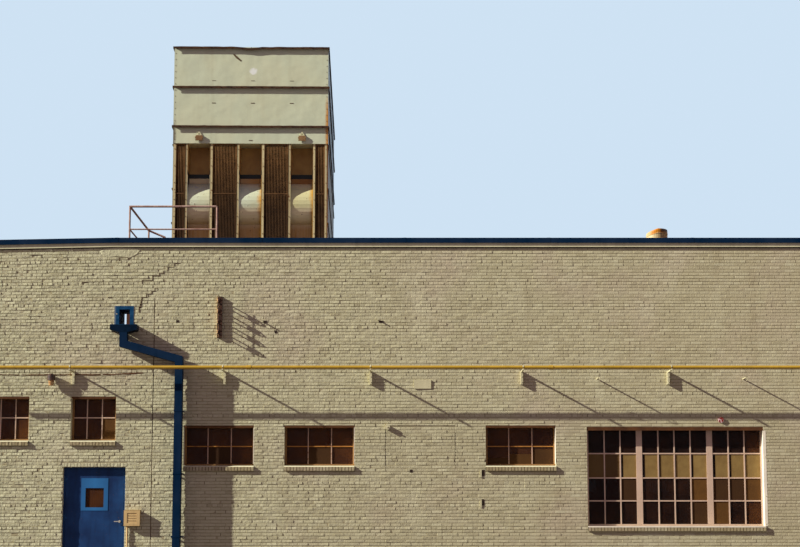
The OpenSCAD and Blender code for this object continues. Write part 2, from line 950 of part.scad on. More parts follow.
module window_glass() {
    color(glass, 0.5) {
        on_front() for (w = concat(small_windows, strip_windows, [big_window])) pane(w);
        on_left() for (w = side_row) pane(w);
        on_right() for (w = side_row) pane(w);
        on_rear() for (w = rear_row) pane(w);
    }
}

// Door

module on_leaf() { on_front() translate([0, door_set, 0]) children(); }
module on_hinge(z) { translate([hinge_x, -hinge_back, z]) children(); }

// A knuckle with its plate: side is 1 on the leaf and -1 on the frame
module knuckle(z0, z1, side) {
    web = knuckle_r - 1;
    on_hinge(z0 + knuckle_gap / 2) {
        h = z1 - z0 - knuckle_gap;
        cylinder(r = knuckle_r, h = h);
        translate([side > 0 ? 0 : -web, 0, 0]) cube([web, hinge_back, h]);
        translate([side > 0 ? 0 : -hinge_plate_w, hinge_back - hinge_plate_t, 0])
            cube([hinge_plate_w, hinge_plate_t, h]);
    }
}

module door_frame() {
    head = door_top - jamb_w;
    left = door_x + jamb_w;
    right = door_right - jamb_w;
    color(blue) on_leaf() {
        difference() {
            block(door_x, door_right, 0, jamb_d, floor_t, door_top);
            block(left, right, -eps, leaf_t + leaf_gap, floor_t - eps, head);
            block(left + door_stop, right - door_stop, -eps, jamb_d + eps, floor_t - eps, head - door_stop);
        }
        for (z = hinge_z) {
            difference() {
                for (s = [-1, 1])
                    knuckle(z + s * knuckle_h - knuckle_h / 2, z + s * knuckle_h + knuckle_h / 2, -1);
                on_hinge(z - hinge_h / 2 - eps) cylinder(r = hinge_pin_r, h = hinge_h + 2 * eps);
            }
            on_hinge(z - hinge_h / 2) cylinder(r = hinge_pin_r, h = hinge_h + pin_head);
            on_hinge(z + hinge_h / 2) cylinder(r = knuckle_r - 1, h = pin_head);
        }
    }
}

module door_leaf() {
    color(blue) on_leaf() {
        difference() {
            union() {
                block(leaf_x, leaf_right, 0, leaf_t, leaf_z, leaf_z + leaf_h);
                block(vision_x - rim_side, vision_x + vision_w + rim_side, -rim_t, 0,
                      vision_z - rim_foot, vision_z + vision_h + rim_head);
            }
            block(vision_x, vision_x + vision_w, -rim_t - eps, leaf_t + eps, vision_z, vision_z + vision_h);
        }
        for (z = hinge_z)
            difference() {
                knuckle(z - knuckle_h / 2, z + knuckle_h / 2, 1);
                on_hinge(z - knuckle_h) cylinder(r = hinge_pin_r + hinge_fit, h = 2 * knuckle_h);
            }
    }
}

module door_glass() {
    y = (leaf_t - vision_t) / 2;
    color(glass, 0.5) on_leaf()
        block(vision_x, vision_x + vision_w, y, y + vision_t, vision_z, vision_z + vision_h);
}

module door_handle() {
    neck_r = lever_w / 2;
    color("#9a9a96") on_leaf() translate([leaf_right - handle_in, 0, handle_z])
        for (side = [-1, 1])
            translate([0, side < 0 ? 0 : leaf_t, 0]) rotate([-90 * side, 0, 0]) {
                cylinder(r = rose_r, h = rose_t);
                cylinder(r = neck_r, h = lever_out);
                translate([neck_r - lever_l, -neck_r, lever_out - lever_t]) cube([lever_l, lever_w, lever_t]);
            }
}

// Scupper and downspout

module scupper_hole(inset, y0, y1) {
    block(scupper_x + inset, scupper_x + scupper_w - inset, y0, y1,
          scupper_z + inset, scupper_z + scupper_h - inset);
}

module collector_outline(inset) {
    hw = collector_w / 2 - inset;
    sw = spout_w / 2 - inset;
    top = funnel_h + collector_h;
    polygon([[-hw, funnel_h], [-hw, top], [hw, top], [hw, funnel_h], [sw, 0], [-sw, 0]]);
}

module collector() {
    clear_w = collector_w - 2 * spout_t;
    throat_w = spout_w - 2 * spout_t;
    translate([spout_x, 0, funnel_z]) difference() {
        upright(-spout_front, spout_front) collector_outline(0);
        upright(spout_t - spout_front, spout_front - 2 * spout_t) {
            collector_outline(spout_t);
            translate([-clear_w / 2, funnel_h]) square([clear_w, collector_h + eps]);
            translate([-throat_w / 2, -eps]) square([throat_w, funnel_h]);
        }
    }
}

// The face plate, the throat that runs through the wall onto the roof, and the collector
module scupper_head() {
    color(blue) on_front() {
        difference() {
            union() {
                block(scupper_x - plate_left, scupper_x + scupper_w + plate_right, -plate_t, 0,
                      scupper_z, scupper_z + scupper_h + plate_head);
                scupper_hole(0, -plate_t, throat_l);
            }
            scupper_hole(spout_t, -plate_t - eps, throat_l + eps);
        }
        collector();
    }
}

module strap(z) {
    side = spout_w / 2;
    wide = side + strap_foot;
    for (s = [-1, 1])
        translate([drop_x, 0, z]) mirror([s > 0 ? 0 : 1, 0, 0]) {
            block(side, side + strap_t, -spout_front - strap_t, 0, 0, strap_h);
            block(side, wide, -strap_t, 0, 0, strap_h);
        }
    block(drop_x - side, drop_x + side, -spout_front - strap_t, -spout_front, z, z + strap_h);
}

module downspout() {
    bore = [spout_path[0] + [0, eps], spout_path[1], spout_path[2], spout_path[3] - [0, eps]];
    color(blue) on_front() {
        difference() {
            upright(-spout_front, spout_d) polygon(strip(spout_path, spout_w));
            upright(spout_t - spout_front, spout_d - 2 * spout_t)
                polygon(strip(bore, spout_w - 2 * spout_t));
        }
        for (i = [0 : strap_count - 1]) strap(strap_z + i * strap_pitch);
    }
}

// Gas pipe

module gas_pipe() {
    length = building_w - 2 * pipe_end;
    sleeve_pitch = (length - sleeve_l) / (sleeve_count - 1);
    color("#d9a81c") on_front() translate([left_x + pipe_end, -pipe_out, pipe_z]) rotate([0, 90, 0]) {
        cylinder(r = pipe_r, h = length);
        for (i = [0 : sleeve_count - 1])
            translate([0, 0, i * sleeve_pitch]) cylinder(r = sleeve_r, h = sleeve_l);
    }
}

module pipe_brackets() {
    color(cream) on_front() for (place = bracket_in) {
        x = left_x + place;
        block(x - bracket_w / 2, x + bracket_w / 2, -bracket_d, 0, arm_top - bracket_h, arm_top);
        block(x - arm_w / 2, x + arm_w / 2, -arm_l, 0, arm_top - arm_w, arm_top);
    }
}

// Small things on the front wall

// Side view of a clevis: two arms that meet in a nose past the rod
module clevis_outline(inset) {
    h = clevis_h / 2 - inset;
    shoulder = rod_out + spool_r;
    polygon([[0, -h], [-shoulder, -h], [2 * inset - clevis_l, 0], [-shoulder, h], [0, h]]);
}

// A back plate with clevises, each with a spool between its arms, and one rod through them all
module wall_rack() {
    pitch = rack_h / clevis_count;
    clear_h = clevis_h - 2 * clevis_t;
    color(rust) on_front() translate([left_x + rack_in, 0, rack_z]) {
        block(-rack_w / 2, rack_w / 2, -rack_d, 0, 0, rack_h);
        translate([0, -rod_out, 0]) cylinder(r = rod_r, h = rack_h);
        for (i = [0 : clevis_count - 1]) translate([0, 0, (i + 0.5) * pitch]) {
            translate([-clevis_w / 2, 0, 0]) rotate([90, 0, 90]) linear_extrude(clevis_w) difference() {
                clevis_outline(0);
                clevis_outline(clevis_t);
            }
            translate([0, -rod_out, -clear_h / 2]) cylinder(r = spool_r, h = clear_h);
        }
    }
}

// A lens under a drum-shaped shade, on an arm with a round plate at the wall
module wall_lamp() {
    arm_z = lens_h + shade_h / 2;
    shade_top = lens_h + shade_h;
    top = shade_top + crown_h;
    color("#2c2522") on_front() translate([left_x + lamp_in, 0, lamp_z]) {
        translate([0, -lamp_out, 0]) rotate_extrude() polygon([
            [0, 0], [lens_foot_r, 0], [lens_r, lens_h], [shade_r, lens_h], [shade_r, shade_top],
            [crown_r, shade_top], [crown_r, top], [0, top]
        ]);
        tube([0, -lamp_out, arm_z], [0, 0, arm_z], crown_r / 2);
        tube([0, -lamp_plate_t, arm_z], [0, 0, arm_z], crown_r);
    }
}

module electric_box() {
    x = left_x + box_in;
    panel_x = x + (box_w - louvre_w) / 2;
    panel_z = box_z + (box_h - louvre_h) / 2;
    pitch = louvre_h / louvre_count;
    color(cream) on_front() {
        difference() {
            block(x, x + box_w, -box_d, 0, box_z, box_z + box_h);
            block(panel_x, panel_x + louvre_w, -box_d - eps, louvre_d - box_d, panel_z, panel_z + louvre_h);
        }
        for (i = [0 : louvre_count - 1])
            translate([panel_x, louvre_d - box_d, panel_z + i * pitch]) rotate([90, 0, 90])
                linear_extrude(louvre_w) polygon([[0, 0], [-louvre_d * 0.8, 0], [0, pitch * 0.8]]);
        translate([x + conduit_in, -2 * conduit_r, 0]) cylinder(r = conduit_r, h = box_z);
    }
}

module wall_fittings() {
    color(cream) on_front() {
        block(left_x + cover_in, left_x + cover_in + cover_w, -cover_t, 0, cover_z, cover_z + cover_h);
        for (place = hook_in) translate([left_x + place, 0, hook_z]) {
            tube([0, 0, 0], [0, -hook_l, 0], peg_r);
            translate([0, -hook_l, -eye_r]) rotate([0, 90, 0]) ring(eye_r, peg_r / 2);
        }
        for (p = peg_at) tube([left_x + p[0], 0, p[1]], [left_x + p[0], -p[2], p[1]], peg_r);
        for (p = [stub_at, cap_at]) translate([left_x + p[0], 0, p[1]]) tube([0, 0, 0], [0, -p[2], 0], p[3]);
        translate([left_x + stub_at[0], 0, stub_at[1]]) tube([0, 0, 0], [0, -stub_tip, 0], peg_r);
        for (p = clip_at)
            translate([left_x + p[0] - clip_size[0] / 2, -clip_size[1], p[1] - clip_size[2] / 2])
                cube(clip_size);
    }
}

// Roof vent

module roof_vent() {
    inner = vent_r - vent_t;
    color("#c98f2c") translate([vent_x, vent_y, roof_top]) rotate_extrude()
        polygon([[inner, 0], [vent_r + vent_foot, 0], [vent_r + vent_foot, vent_t], [vent_r, vent_t],
                 [vent_r, vent_h - vent_rim_h], [vent_r + vent_rim_out, vent_h - vent_rim_h],
                 [vent_r + vent_rim_out, vent_h], [inner, vent_h]]);
}

// Service platform, drawn from its front left corner

module on_platform() { translate([platform_x, platform_y, 0]) children(); }

module service_platform() {
    w = stand_w;
    edge_top = platform_z - tread_t;
    edge_low = edge_top - edge_h;
    color(rust) on_platform() {
        block(0, platform_w, 0, platform_d, edge_top, platform_z);
        for (y = [0, platform_d - w]) block(0, platform_w, y, y + w, edge_low, edge_top);
        for (x = [0, platform_w - w]) block(x, x + w, 0, platform_d, edge_low, edge_top);
        for (x = [0, platform_w - w]) for (y = [0, platform_d - w]) {
            block(x, x + w, y, y + w, roof_top, edge_low);
            block(x - foot_lap, x + w + foot_lap, y - foot_lap, y + w + foot_lap,
                  roof_top, roof_top + foot_t);
        }
    }
}

module platform_rails() {
    x0 = rail_r;
    x1 = platform_w - rail_r;
    y0 = rail_r;
    y1 = platform_d - rail_r;
    top = platform_z + rail_h - rail_r;
    mid = platform_z + mid_rail_h;
    gate = [x0 + return_run, y1, top - return_fall];
    color("#8a4a3a") on_platform() {
        tube([x0, y0, top], [x1 - rail_bend, y0, top], rail_r);
        translate([x1 - rail_bend, y0, top - rail_bend]) rotate([90, 0, 0])
            rotate_extrude(angle = 90) translate([rail_bend, 0]) circle(rail_r);
        tube([x1, y0, platform_z], [x1, y0, top - rail_bend], rail_r);
        tube([x0, y0, mid], [x1, y0, mid], mid_rail_r);
        tube([x0, y0, top], [x0, y1, top], rail_r);
        tube([x0, y0, mid], [x0, y1, mid], mid_rail_r);
        for (y = [y0, (y0 + y1) / 2, y1]) tube([x0, y, platform_z], [x0, y, top], stanchion_r);
        tube([x0, y1, top], gate, rail_r);
        tube([gate[0], gate[1], platform_z], gate, stanchion_r);
        for (p = [[x0, y0, top], [x0, y1, top], gate]) translate(p) sphere(r = rail_r + 2);
    }
}

// Cooling unit

module unit_legs() {
    beam_z = unit_z - carrier_h;
    color(rust) on_unit() for (x = carrier_x) {
        translate([x, 0, beam_z]) upright(0, unit_d) i_section(carrier_h, carrier_w, carrier_t);
        for (i = [0 : column_count - 1]) translate([x, column_in + i * column_pitch, roof_top]) {
            translate([0, -carrier_w / 2, 0]) linear_extrude(beam_z - roof_top)
                i_section(carrier_w, carrier_w, carrier_t);
            side = carrier_w + 2 * foot_lap;
            translate([-side / 2, -side / 2, 0]) cube([side, side, foot_t]);
        }
    }
}

// Four walls of sheet panels, the side ones welded in between the others
module panel_walls(front, z0, z1) {
    t = casing_t;
    for (y = [front, unit_d - t]) block(-half_w, half_w, y, y + t, z0, z1);
    for (x = [-half_w, half_w - t])
        block(x, x + t, front + t + weld_gap, unit_d - t - weld_gap, z0, z1);
}

// The pan and the closed housing behind the fans. Its front wall is made of panels over, under
// and between the fans' outlets
module plenum_housing() {
    mouth = scroll_half + outlet_gap;
    low = axis_z + outlet_low - outlet_gap;
    high = axis_z + outlet_high + outlet_gap;
    y0 = fan_d - eps;
    y1 = fan_d + casing_t + eps;
    color(cream) on_unit() {
        block(-half_w, half_w, 0, unit_d, unit_z, pan_top);
        difference() {
            panel_walls(fan_d, pan_top + weld_gap, fan_top);
            for (x = fan_x) block(x - mouth, x + mouth, y0, y1, low, high);
            for (z = [low - weld_gap, high])
                block(-half_w - eps, half_w + eps, y0, y1, z, z + weld_gap);
        }
    }
}

module fan_sides() {
    color(cream) on_unit() for (x = [-half_w, half_w - casing_t])
        block(x, x + casing_t, post_d, fan_d, pan_top, fan_top);
}

// The posts are channels that open to the rear
module unit_posts() {
    half = post_w / 2;
    color(cream) on_unit() for (x = post_x)
        difference() {
            block(x - half, x + half, 0, post_d, pan_top, fan_top);
            block(x - half + sheet_t, x + half - sheet_t, sheet_t, post_d + eps,
                  pan_top - eps, fan_top + eps);
        }
}

// Side view of a fan housing, drawn from its axis with X to the rear
module volute(inset, reach) {
    low = outlet_low + inset;
    tongue = inset > 0 ? [[cut_r * cos(cut_angle) + inset, low]] : [];
    polygon(concat(
        [for (a = [0 : wrap_step : wrap_turn + wrap_step / 2]) wrap_at(a, inset)],
        [[reach, outlet_high - inset], [reach, low]],
        tongue
    ));
}

module across(half) { translate([0, 0, -half]) linear_extrude(2 * half) children(); }

module rect(x0, x1, y0, y1) { translate([x0, y0]) square([x1 - x0, y1 - y0]); }

// The quarter-round mouth that leads the air into an inlet
module bell_mouth() {
    arc = [for (a = [0 : 15 : 90]) [cos(a), sin(a)]];
    rotate_extrude() translate([inlet_r + bell_r, 0]) polygon(concat(
        [for (p = arc) [-bell_r * p[0], bell_r * p[1]]],
        [for (i = [len(arc) - 1 : -1 : 0]) [-(bell_r - sheet_t) * arc[i][0], (bell_r - sheet_t) * arc[i][1]]]
    ));
}

// One fan housing: two side plates that fill the bay, the spiral wrapper between them with its
// outlet through the housing's wall, the panel and flange over it, the apron under it and a bell
// mouth on each inlet
module fan_housing() {
    floor_v = pan_top - axis_z;
    roof_v = fan_top - axis_z;
    difference() {
        union() {
            across(scroll_half) volute(0, outlet_run + casing_t);
            for (s = [-1, 1]) translate([0, 0, s * (scroll_half - sheet_t / 2)])
                across(sheet_t / 2) rect(-axis_y, outlet_run, floor_v, roof_v);
            across(scroll_half) {
                rect(0, sheet_t, 0, roof_v);
                rect(-flange_d, sheet_t, outlet_high, outlet_high + flange_h);
                rect(-apron_y, sheet_t - apron_y, floor_v, 0);
            }
        }
        across(scroll_half - sheet_t) volute(sheet_t, outlet_run + casing_t + eps);
        cylinder(r = inlet_r, h = 4 * scroll_half, center = true);
    }
    translate([wrap_at(0, 0)[0], outlet_low, -scroll_half]) cylinder(r = nose_r, h = 2 * scroll_half);
    for (s = [0, 1]) mirror([0, 0, s]) translate([0, 0, scroll_half]) bell_mouth();
}

module fan_scrolls() {
    color(cream) on_unit() for (x = fan_x)
        translate([x, axis_y, axis_z]) rotate([90, 0, 90]) fan_housing();
}

// A screen's frame: two stiles with three rails welded between them
module screen(x0, x1) {
    w = mesh_frame;
    side = w + weld_gap;
    upright(mesh_set, sheet_t) {
        for (x = [x0, x1 - w]) rect(x, x + w, pan_top, fan_top);
        for (z = [pan_top, unit_z + mesh_rail, fan_top - w]) rect(x0 + side, x1 - side, z, z + w);
    }
}

module inlet_screens() {
    half = post_w / 2;
    color(rust) on_unit() for (i = [0 : 2 : 6]) screen(post_x[i] + half, post_x[i + 1] - half);
}

// The lower band also roofs the fan section, with a sheet welded in between its walls
module casing_lower() {
    edge = casing_t + weld_gap;
    color(cream) on_unit() {
        panel_walls(-front_out, fan_top, lower_top);
        block(edge - half_w, half_w - edge, edge - front_out, fan_d + casing_t,
              fan_top, fan_top + sheet_t);
    }
}

module casing_middle() { color(cream) on_unit() panel_walls(-front_out, lower_top, middle_top); }
module casing_upper() { color(cream) on_unit() panel_walls(-front_out, middle_top, upper_top); }

// An angle that runs round the casing: its flange on top and its leg hanging at the edge. The
// lengths along the sides are welded in between the front and the rear one
module lip(z) {
    side = half_w + lip_side;
    front = -front_out - lip_out;
    back = unit_d + lip_side;
    z0 = z - lip_h - eps;
    difference() {
        block(-side, side, front, back, z - lip_h, z);
        block(-half_w, half_w, -front_out, unit_d, z0, z + eps);
        block(lip_t - side, side - lip_t, front + lip_t, back - lip_t, z0, z - lip_t);
        for (y = [-front_out, unit_d - weld_gap])
            block(-side - eps, side + eps, y, y + weld_gap, z0, z + eps);
    }
}

module casing_lips() {
    color(rust) on_unit() {
        for (z = [lower_top, middle_top, upper_top]) lip(z);
        for (x = [-half_w - seam_out, half_w]) for (z = seam_z)
            block(x, x + seam_out, post_d, unit_d, z - seam_h, z);
    }
}

module lifting_lugs() {
    ring_z = lug_h + lug_ring - 2 * lug_bar;
    color(rust) on_unit() for (x = [fan_x[0], fan_x[2]]) translate([x, -front_out, fan_top + lug_z]) {
        block(-lug_w / 2, lug_w / 2, -lug_d, 0, 0, lug_h);
        translate([0, -lug_d / 2, ring_z]) rotate([90, 0, 0]) ring(lug_ring, lug_bar);
    }
}

// Bent blades along the casing, on rails that run across it
module drift_eliminators() {
    clear_w = unit_w - 2 * casing_t;
    y0 = casing_t;
    length = unit_d - 2 * casing_t;
    z = upper_top - blade_drop - blade_h;
    count = floor((clear_w - 2 * blade_throw) / blade_pitch);
    rail_w = 3 * sheet_t;
    rail_pitch = (length - rail_w) / (blade_rails - 1);
    color("#3b3a36") on_unit() {
        for (i = [0 : count - 1])
            translate([(i - (count - 1) / 2) * blade_pitch - blade_throw / 2, 0, z]) upright(y0, length)
                polygon(strip([[0, 0], [blade_throw, blade_h / 2], [0, blade_h]], blade_t));
        for (i = [0 : blade_rails - 1])
            translate([-clear_w / 2, y0 + i * rail_pitch, z]) cube([clear_w, rail_w, rail_w]);
    }
}

floor_slab();
wall_front_left();
wall_over_door();
wall_front_middle();
wall_big_window_bay();
wall_front_right();
wall_front_upper();
walls_side();
wall_rear();
brick_infill();
roof_deck();
roof_beams();
coping_front();
copings_side();
coping_rear();
band_front();
lintel_angles();
window_sashes();
big_window_sash();
window_glass();
door_frame();
door_leaf();
door_glass();
door_handle();
scupper_head();
downspout();
gas_pipe();
pipe_brackets();
wall_rack();
wall_lamp();
electric_box();
wall_fittings();
roof_vent();
service_platform();
platform_rails();
unit_legs();
plenum_housing();
fan_sides();
unit_posts();
fan_scrolls();
inlet_screens();
casing_lower();
casing_middle();
casing_upper();
casing_lips();
lifting_lugs();
drift_eliminators();
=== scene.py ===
import random
from math import cos, exp, pi, radians, sin

import bpy
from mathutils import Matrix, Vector


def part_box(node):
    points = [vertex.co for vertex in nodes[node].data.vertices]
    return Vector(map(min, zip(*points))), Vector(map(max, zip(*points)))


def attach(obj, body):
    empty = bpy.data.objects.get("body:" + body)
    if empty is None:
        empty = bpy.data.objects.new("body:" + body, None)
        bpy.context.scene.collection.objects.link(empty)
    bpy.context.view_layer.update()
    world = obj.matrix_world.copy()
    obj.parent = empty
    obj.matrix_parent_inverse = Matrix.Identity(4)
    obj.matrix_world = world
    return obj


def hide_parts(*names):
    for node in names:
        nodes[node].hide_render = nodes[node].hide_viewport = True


# Looks of a brick factory building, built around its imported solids.
# Metres, in the part's own frame: X along the street front, Y to the rear, Z up from the ground.

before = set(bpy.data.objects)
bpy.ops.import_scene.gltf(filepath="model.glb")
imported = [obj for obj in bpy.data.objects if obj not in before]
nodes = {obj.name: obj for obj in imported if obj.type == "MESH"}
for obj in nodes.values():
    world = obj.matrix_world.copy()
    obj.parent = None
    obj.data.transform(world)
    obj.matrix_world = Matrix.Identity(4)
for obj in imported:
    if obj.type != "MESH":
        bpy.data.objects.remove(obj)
scene = bpy.context.scene
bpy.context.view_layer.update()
chance = random.Random(11)

# Walls, read from the frame
FRONT_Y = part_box("wall_front_right")[0].y
REAR_Y = -FRONT_Y
LEFT_X, RIGHT_X = (corner.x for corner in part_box("wall_front_upper"))
WALL_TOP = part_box("wall_rear")[1].z
WALL_T = 0.305
ROOF_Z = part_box("roof_deck")[1].z
# How far a wall's strips reach into its face
BITE = 0.001

# Brickwork. A header course follows every six stretcher courses. A joint is open, half filled or filled.
COURSE_H = 0.2 / 3
JOINT = 0.011
HALF_JOINT = 0.007
FILLED_JOINT = 0.004
BRICK_L = 0.203
HEADER_L = 0.0965
HEADER_EVERY = 7
HEADER_FIRST = 6
RELIEF = 0.0045
CHAMFER = 0.004
# How unevenly the front's bricks lie at its left and its right end
ROUGH_LEFT, ROUGH_RIGHT = 3.0, 0.6
BAND_FOOT = WALL_TOP - 0.171

# Settlement of the left corner
SETTLE = 0.06
CREST_X = LEFT_X + 3.5
SETTLE_FROM_Z = 5.0

# Windows: width of a sash's frame, its lap over the glass, and the big window's columns and mullions
SASH_W = 0.042
SASH_LAP = SASH_W / 2
SASH_IN = 0.2
SILL_H = 0.108
SILL_OUT = 0.05
SILL_FALL = 0.027
BIG_LEFT_X = 3.86
BIG_ROWS = (1.466, 1.942, 2.452)
BIG_COLUMNS = 10
MULLIONS = (3, 7)
MULLION_W = 0.125
SHEET_T = 0.002
TRIM_T = 0.012

# Cooling unit: its own frame has X from its middle and Y from the front plane of its posts
UNIT_X, UNIT_Y, UNIT_TURN = LEFT_X + 5.925, FRONT_Y + 6.0, radians(1.2)
UNIT_HALF = 1.9025
UNIT_D = 10.4
UNIT_Z = 7.85
PAN_TOP = 7.91
FAN_TOP = 10.351
CASING_TOPS = LOWER_TOP, MIDDLE_TOP, UPPER_TOP = 10.793, 11.786, 12.785
SEAM_Z = (UNIT_Z + 0.550, UNIT_Z + 1.4, FAN_TOP)
CASING_OUT = 0.02
LIP_OUT = 0.065
FAN_X = (-1.264, 0.0, 1.264)
FAN_BAY = 0.615
FLANGE_Z, FLANGE_TOP = 9.44, 9.57
END_BAY = 0.286
POST_W = 0.06
POST_X = [FAN_X[0] - FAN_BAY / 2 - END_BAY] + [
    x + s * FAN_BAY / 2 for x in FAN_X for s in (-1, 1)] + [FAN_X[2] + FAN_BAY / 2 + END_BAY]
# Each post's left and right edge from its middle and its tone
POST_FORMS = ((-0.03, 0.03, 0.8), (-0.010, 0.030, 0.42), (-0.020, 0.030, 0.85), (-0.012, 0.030, 0.68),
              (-0.022, 0.030, 1.0), (-0.014, 0.028, 0.6), (-0.030, 0.018, 0.9), (-0.030, 0.018, 0.7))
PATCH_X, PATCH_Z = 0.05, 12.18

# Small parts
LENS_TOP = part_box("wall_lamp")[0].z + 0.11
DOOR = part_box("door_frame")
DOOR_FACE = DOOR[1].y - 0.12
DOOR_MID = (DOOR[0].x + DOOR[1].x) / 2
DOOR_HEAD_H = 0.086
DOOR_HEAD_BRICKS = 20
CAP_X, CAP_Z = 6.716, 3.143
SCUPPER_X = sum(corner.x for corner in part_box("scupper_head")) / 2
SCUPPER_SILL_Z = 5.12
PIPE_R = 0.036
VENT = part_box("roof_vent")
VENT_X, VENT_TOP = (VENT[0].x + VENT[1].x) / 2, VENT[1].z
COWL_FALL = 0.085


def seen(colour, times=1.0, plus=0.0):
    """A colour given as it is seen, from 0 to 255, in the linear values that a shader takes."""
    def linear(c):
        c /= 255
        return c / 12.92 if c <= 0.04045 else ((c + 0.055) / 1.055) ** 2.4
    return tuple(min(1.0, linear(c) * times + plus) for c in colour) + (1.0,)


# Materials

def plug(tree, socket, value):
    """Links or sets one input of a node. Three numbers are a colour as seen."""
    if isinstance(value, Value):
        value = value.socket
    if isinstance(value, bpy.types.NodeSocket):
        tree.links.new(value, socket)
    else:
        socket.default_value = seen(value) if isinstance(value, tuple) and len(value) == 3 else value


def add_node(tree, kind, values, out=0, **settings):
    """Adds a shader node with its inputs plugged, and gives one of its outputs."""
    node = tree.nodes.new("ShaderNode" + kind)
    for name, value in settings.items():
        setattr(node, name, value)
    for key, value in values.items():
        plug(tree, node.inputs[key], value)
    return Value(tree, node.outputs[out])


class Value:
    """A node's output, with the sums that can be done on it."""

    def __init__(self, tree, socket):
        self.tree, self.socket = tree, socket

    def math(self, operation, other=0.0):
        return add_node(self.tree, "Math", {0: self, 1: other}, operation=operation)

    def __add__(self, other):
        return self.math("ADD", other)

    def __sub__(self, other):
        return self.math("SUBTRACT", other)

    def __mul__(self, other):
        return self.math("MULTIPLY", other)

    def __abs__(self):
        return self.math("ABSOLUTE")

    def fade(self, low, high, start=0.0, end=1.0):
        """Start where this is low and end where it is high."""
        return add_node(self.tree, "MapRange", {0: self, 1: low, 2: high, 3: start, 4: end})

    def near(self, middle, reach):
        """1 where this is at middle, down to 0 at a distance of reach."""
        return abs(self - middle).fade(reach, 0.0)

    def above(self, level, soft=0.005):
        """0 where this is below a level and 1 where it is above."""
        return self.fade(level - soft, level + soft)

    def axes(self):
        """The X, Y and Z of a vector."""
        outputs = add_node(self.tree, "SeparateXYZ", {0: self}).socket.node.outputs
        return [Value(self.tree, socket) for socket in outputs]


class Paint:
    """A procedural material whose colour is laid in coats."""

    def __init__(self, name, colour, rough=0.6, specular=0.4):
        self.material = bpy.data.materials.new(name)
        self.material.use_nodes = True
        self.tree = self.material.node_tree
        self.shader = self.tree.nodes["Principled BSDF"].inputs
        self.shader["Roughness"].default_value = rough
        self.shader["Specular IOR Level"].default_value = specular
        self.place = self.node("TexCoord", {}, "Object")
        self.x, self.y, self.z = self.place.axes()
        self.colour = colour

    def node(self, kind, values, out=0, **settings):
        return add_node(self.tree, kind, values, out, **settings)

    def normal(self):
        return self.node("NewGeometry", {}, "True Normal").axes()

    def tone(self):
        return self.node("Attribute", {}, "Fac", attribute_name="tone")

    def noise(self, scale, detail, tall=1.0):
        """Noise, drawn out into upright streaks where tall is small."""
        at = self.node("Mapping", {"Vector": self.place, "Scale": Vector((1.0, 1.0, tall))})
        return self.node("TexNoise", {"Vector": at, "Scale": scale, "Detail": detail}, "Fac")

    def mix(self, share, a, b):
        return self.node("Mix", {"Factor": share, 6: a, 7: b}, 2, data_type="RGBA")

    def mottle(self, a, b, scale, detail, low, high, share=1.0, tall=1.0):
        """Colour a, and up to a share of b where a noise rises from low to high."""
        return self.mix(self.noise(scale, detail, tall).fade(low, high, 0.0, share), a, b)

    def coat(self, share, colour):
        self.colour = self.mix(share, self.colour, colour)

    def stain(self, colour, *noise):
        self.colour = self.mottle(self.colour, colour, *noise)

    def done(self, height=None, depth=0.002, rough=None):
        plug(self.tree, self.shader["Base Color"], self.colour)
        if rough:
            plug(self.tree, self.shader["Roughness"], rough)
        if height:
            plug(self.tree, self.shader["Normal"], self.node("Bump", {"Distance": depth, "Height": height}))
        return self.material


PAINT = (193, 191, 155)
PAINT_RIGHT = (186, 177, 142)
PAINT_PINK = (186, 168, 148)
PAINT_PALE = (204, 200, 166)
PAINT_DIRT = (140, 122, 92)
JOINT_DIRT = (164, 155, 121)
JOINT_RIGHT = (159, 147, 113)
RUST_DARK = (66, 36, 22)
RUST = (112, 62, 30)


def wall_coats(paint, left, right):
    """The broad stains of the painted brickwork: pinkish and pale patches, and dirt run down from the top."""
    paint.colour = paint.mix(paint.x.fade(LEFT_X, RIGHT_X), left, right)
    paint.stain(PAINT_PINK, 0.55, 4.0, 0.50, 0.72, 0.5)
    paint.coat(paint.z.fade(3.4, 2.6) * paint.x.fade(-5.0, -1.0) * 0.15, PAINT_DIRT)
    paint.stain(PAINT_PALE, 1.3, 5.0, 0.52, 0.75, 0.5, 0.6)
    paint.stain(PAINT_DIRT, 2.6, 4.0, 0.56, 0.82, 0.35, 0.16)


def brick_paint(name, left, right):
    """Thick old paint on brick, a little different on each brick and lumpier to the left."""
    paint = Paint(name, left, 0.85, 0.2)
    wall_coats(paint, left, right)
    tone = paint.tone()
    paint.coat(tone.fade(0.5, 1.0, 0.0, 0.5), PAINT_PALE)
    paint.coat(tone.fade(0.5, 0.0, 0.0, 0.6), JOINT_DIRT)
    paint.stain(PAINT_DIRT, 46.0, 4.0, 0.70, 0.76, 0.5)
    lumps = paint.noise(15.0, 4.0) * paint.x.fade(LEFT_X + 1.0, 3.0, 1.0, 0.35)
    return paint.done(lumps + paint.noise(70.0, 5.0) * 0.22, 0.016)


def joint_paint():
    """Painted mortar, and the reveals of the openings with their courses."""
    paint = Paint("painted_joints", JOINT_DIRT, 0.88, 0.2)
    wall_coats(paint, JOINT_DIRT, JOINT_RIGHT)
    course = paint.z.math("DIVIDE", COURSE_H).math("FRACT")
    bed = course.near(0.0, JOINT / COURSE_H)
    reveal = abs(paint.normal()[1]).fade(0.9, 0.5)
    paint.coat(reveal, paint.mix(bed, PAINT_PALE, JOINT_DIRT))
    return paint.done(paint.noise(60.0, 5.0) + bed * -1.5, 0.003)


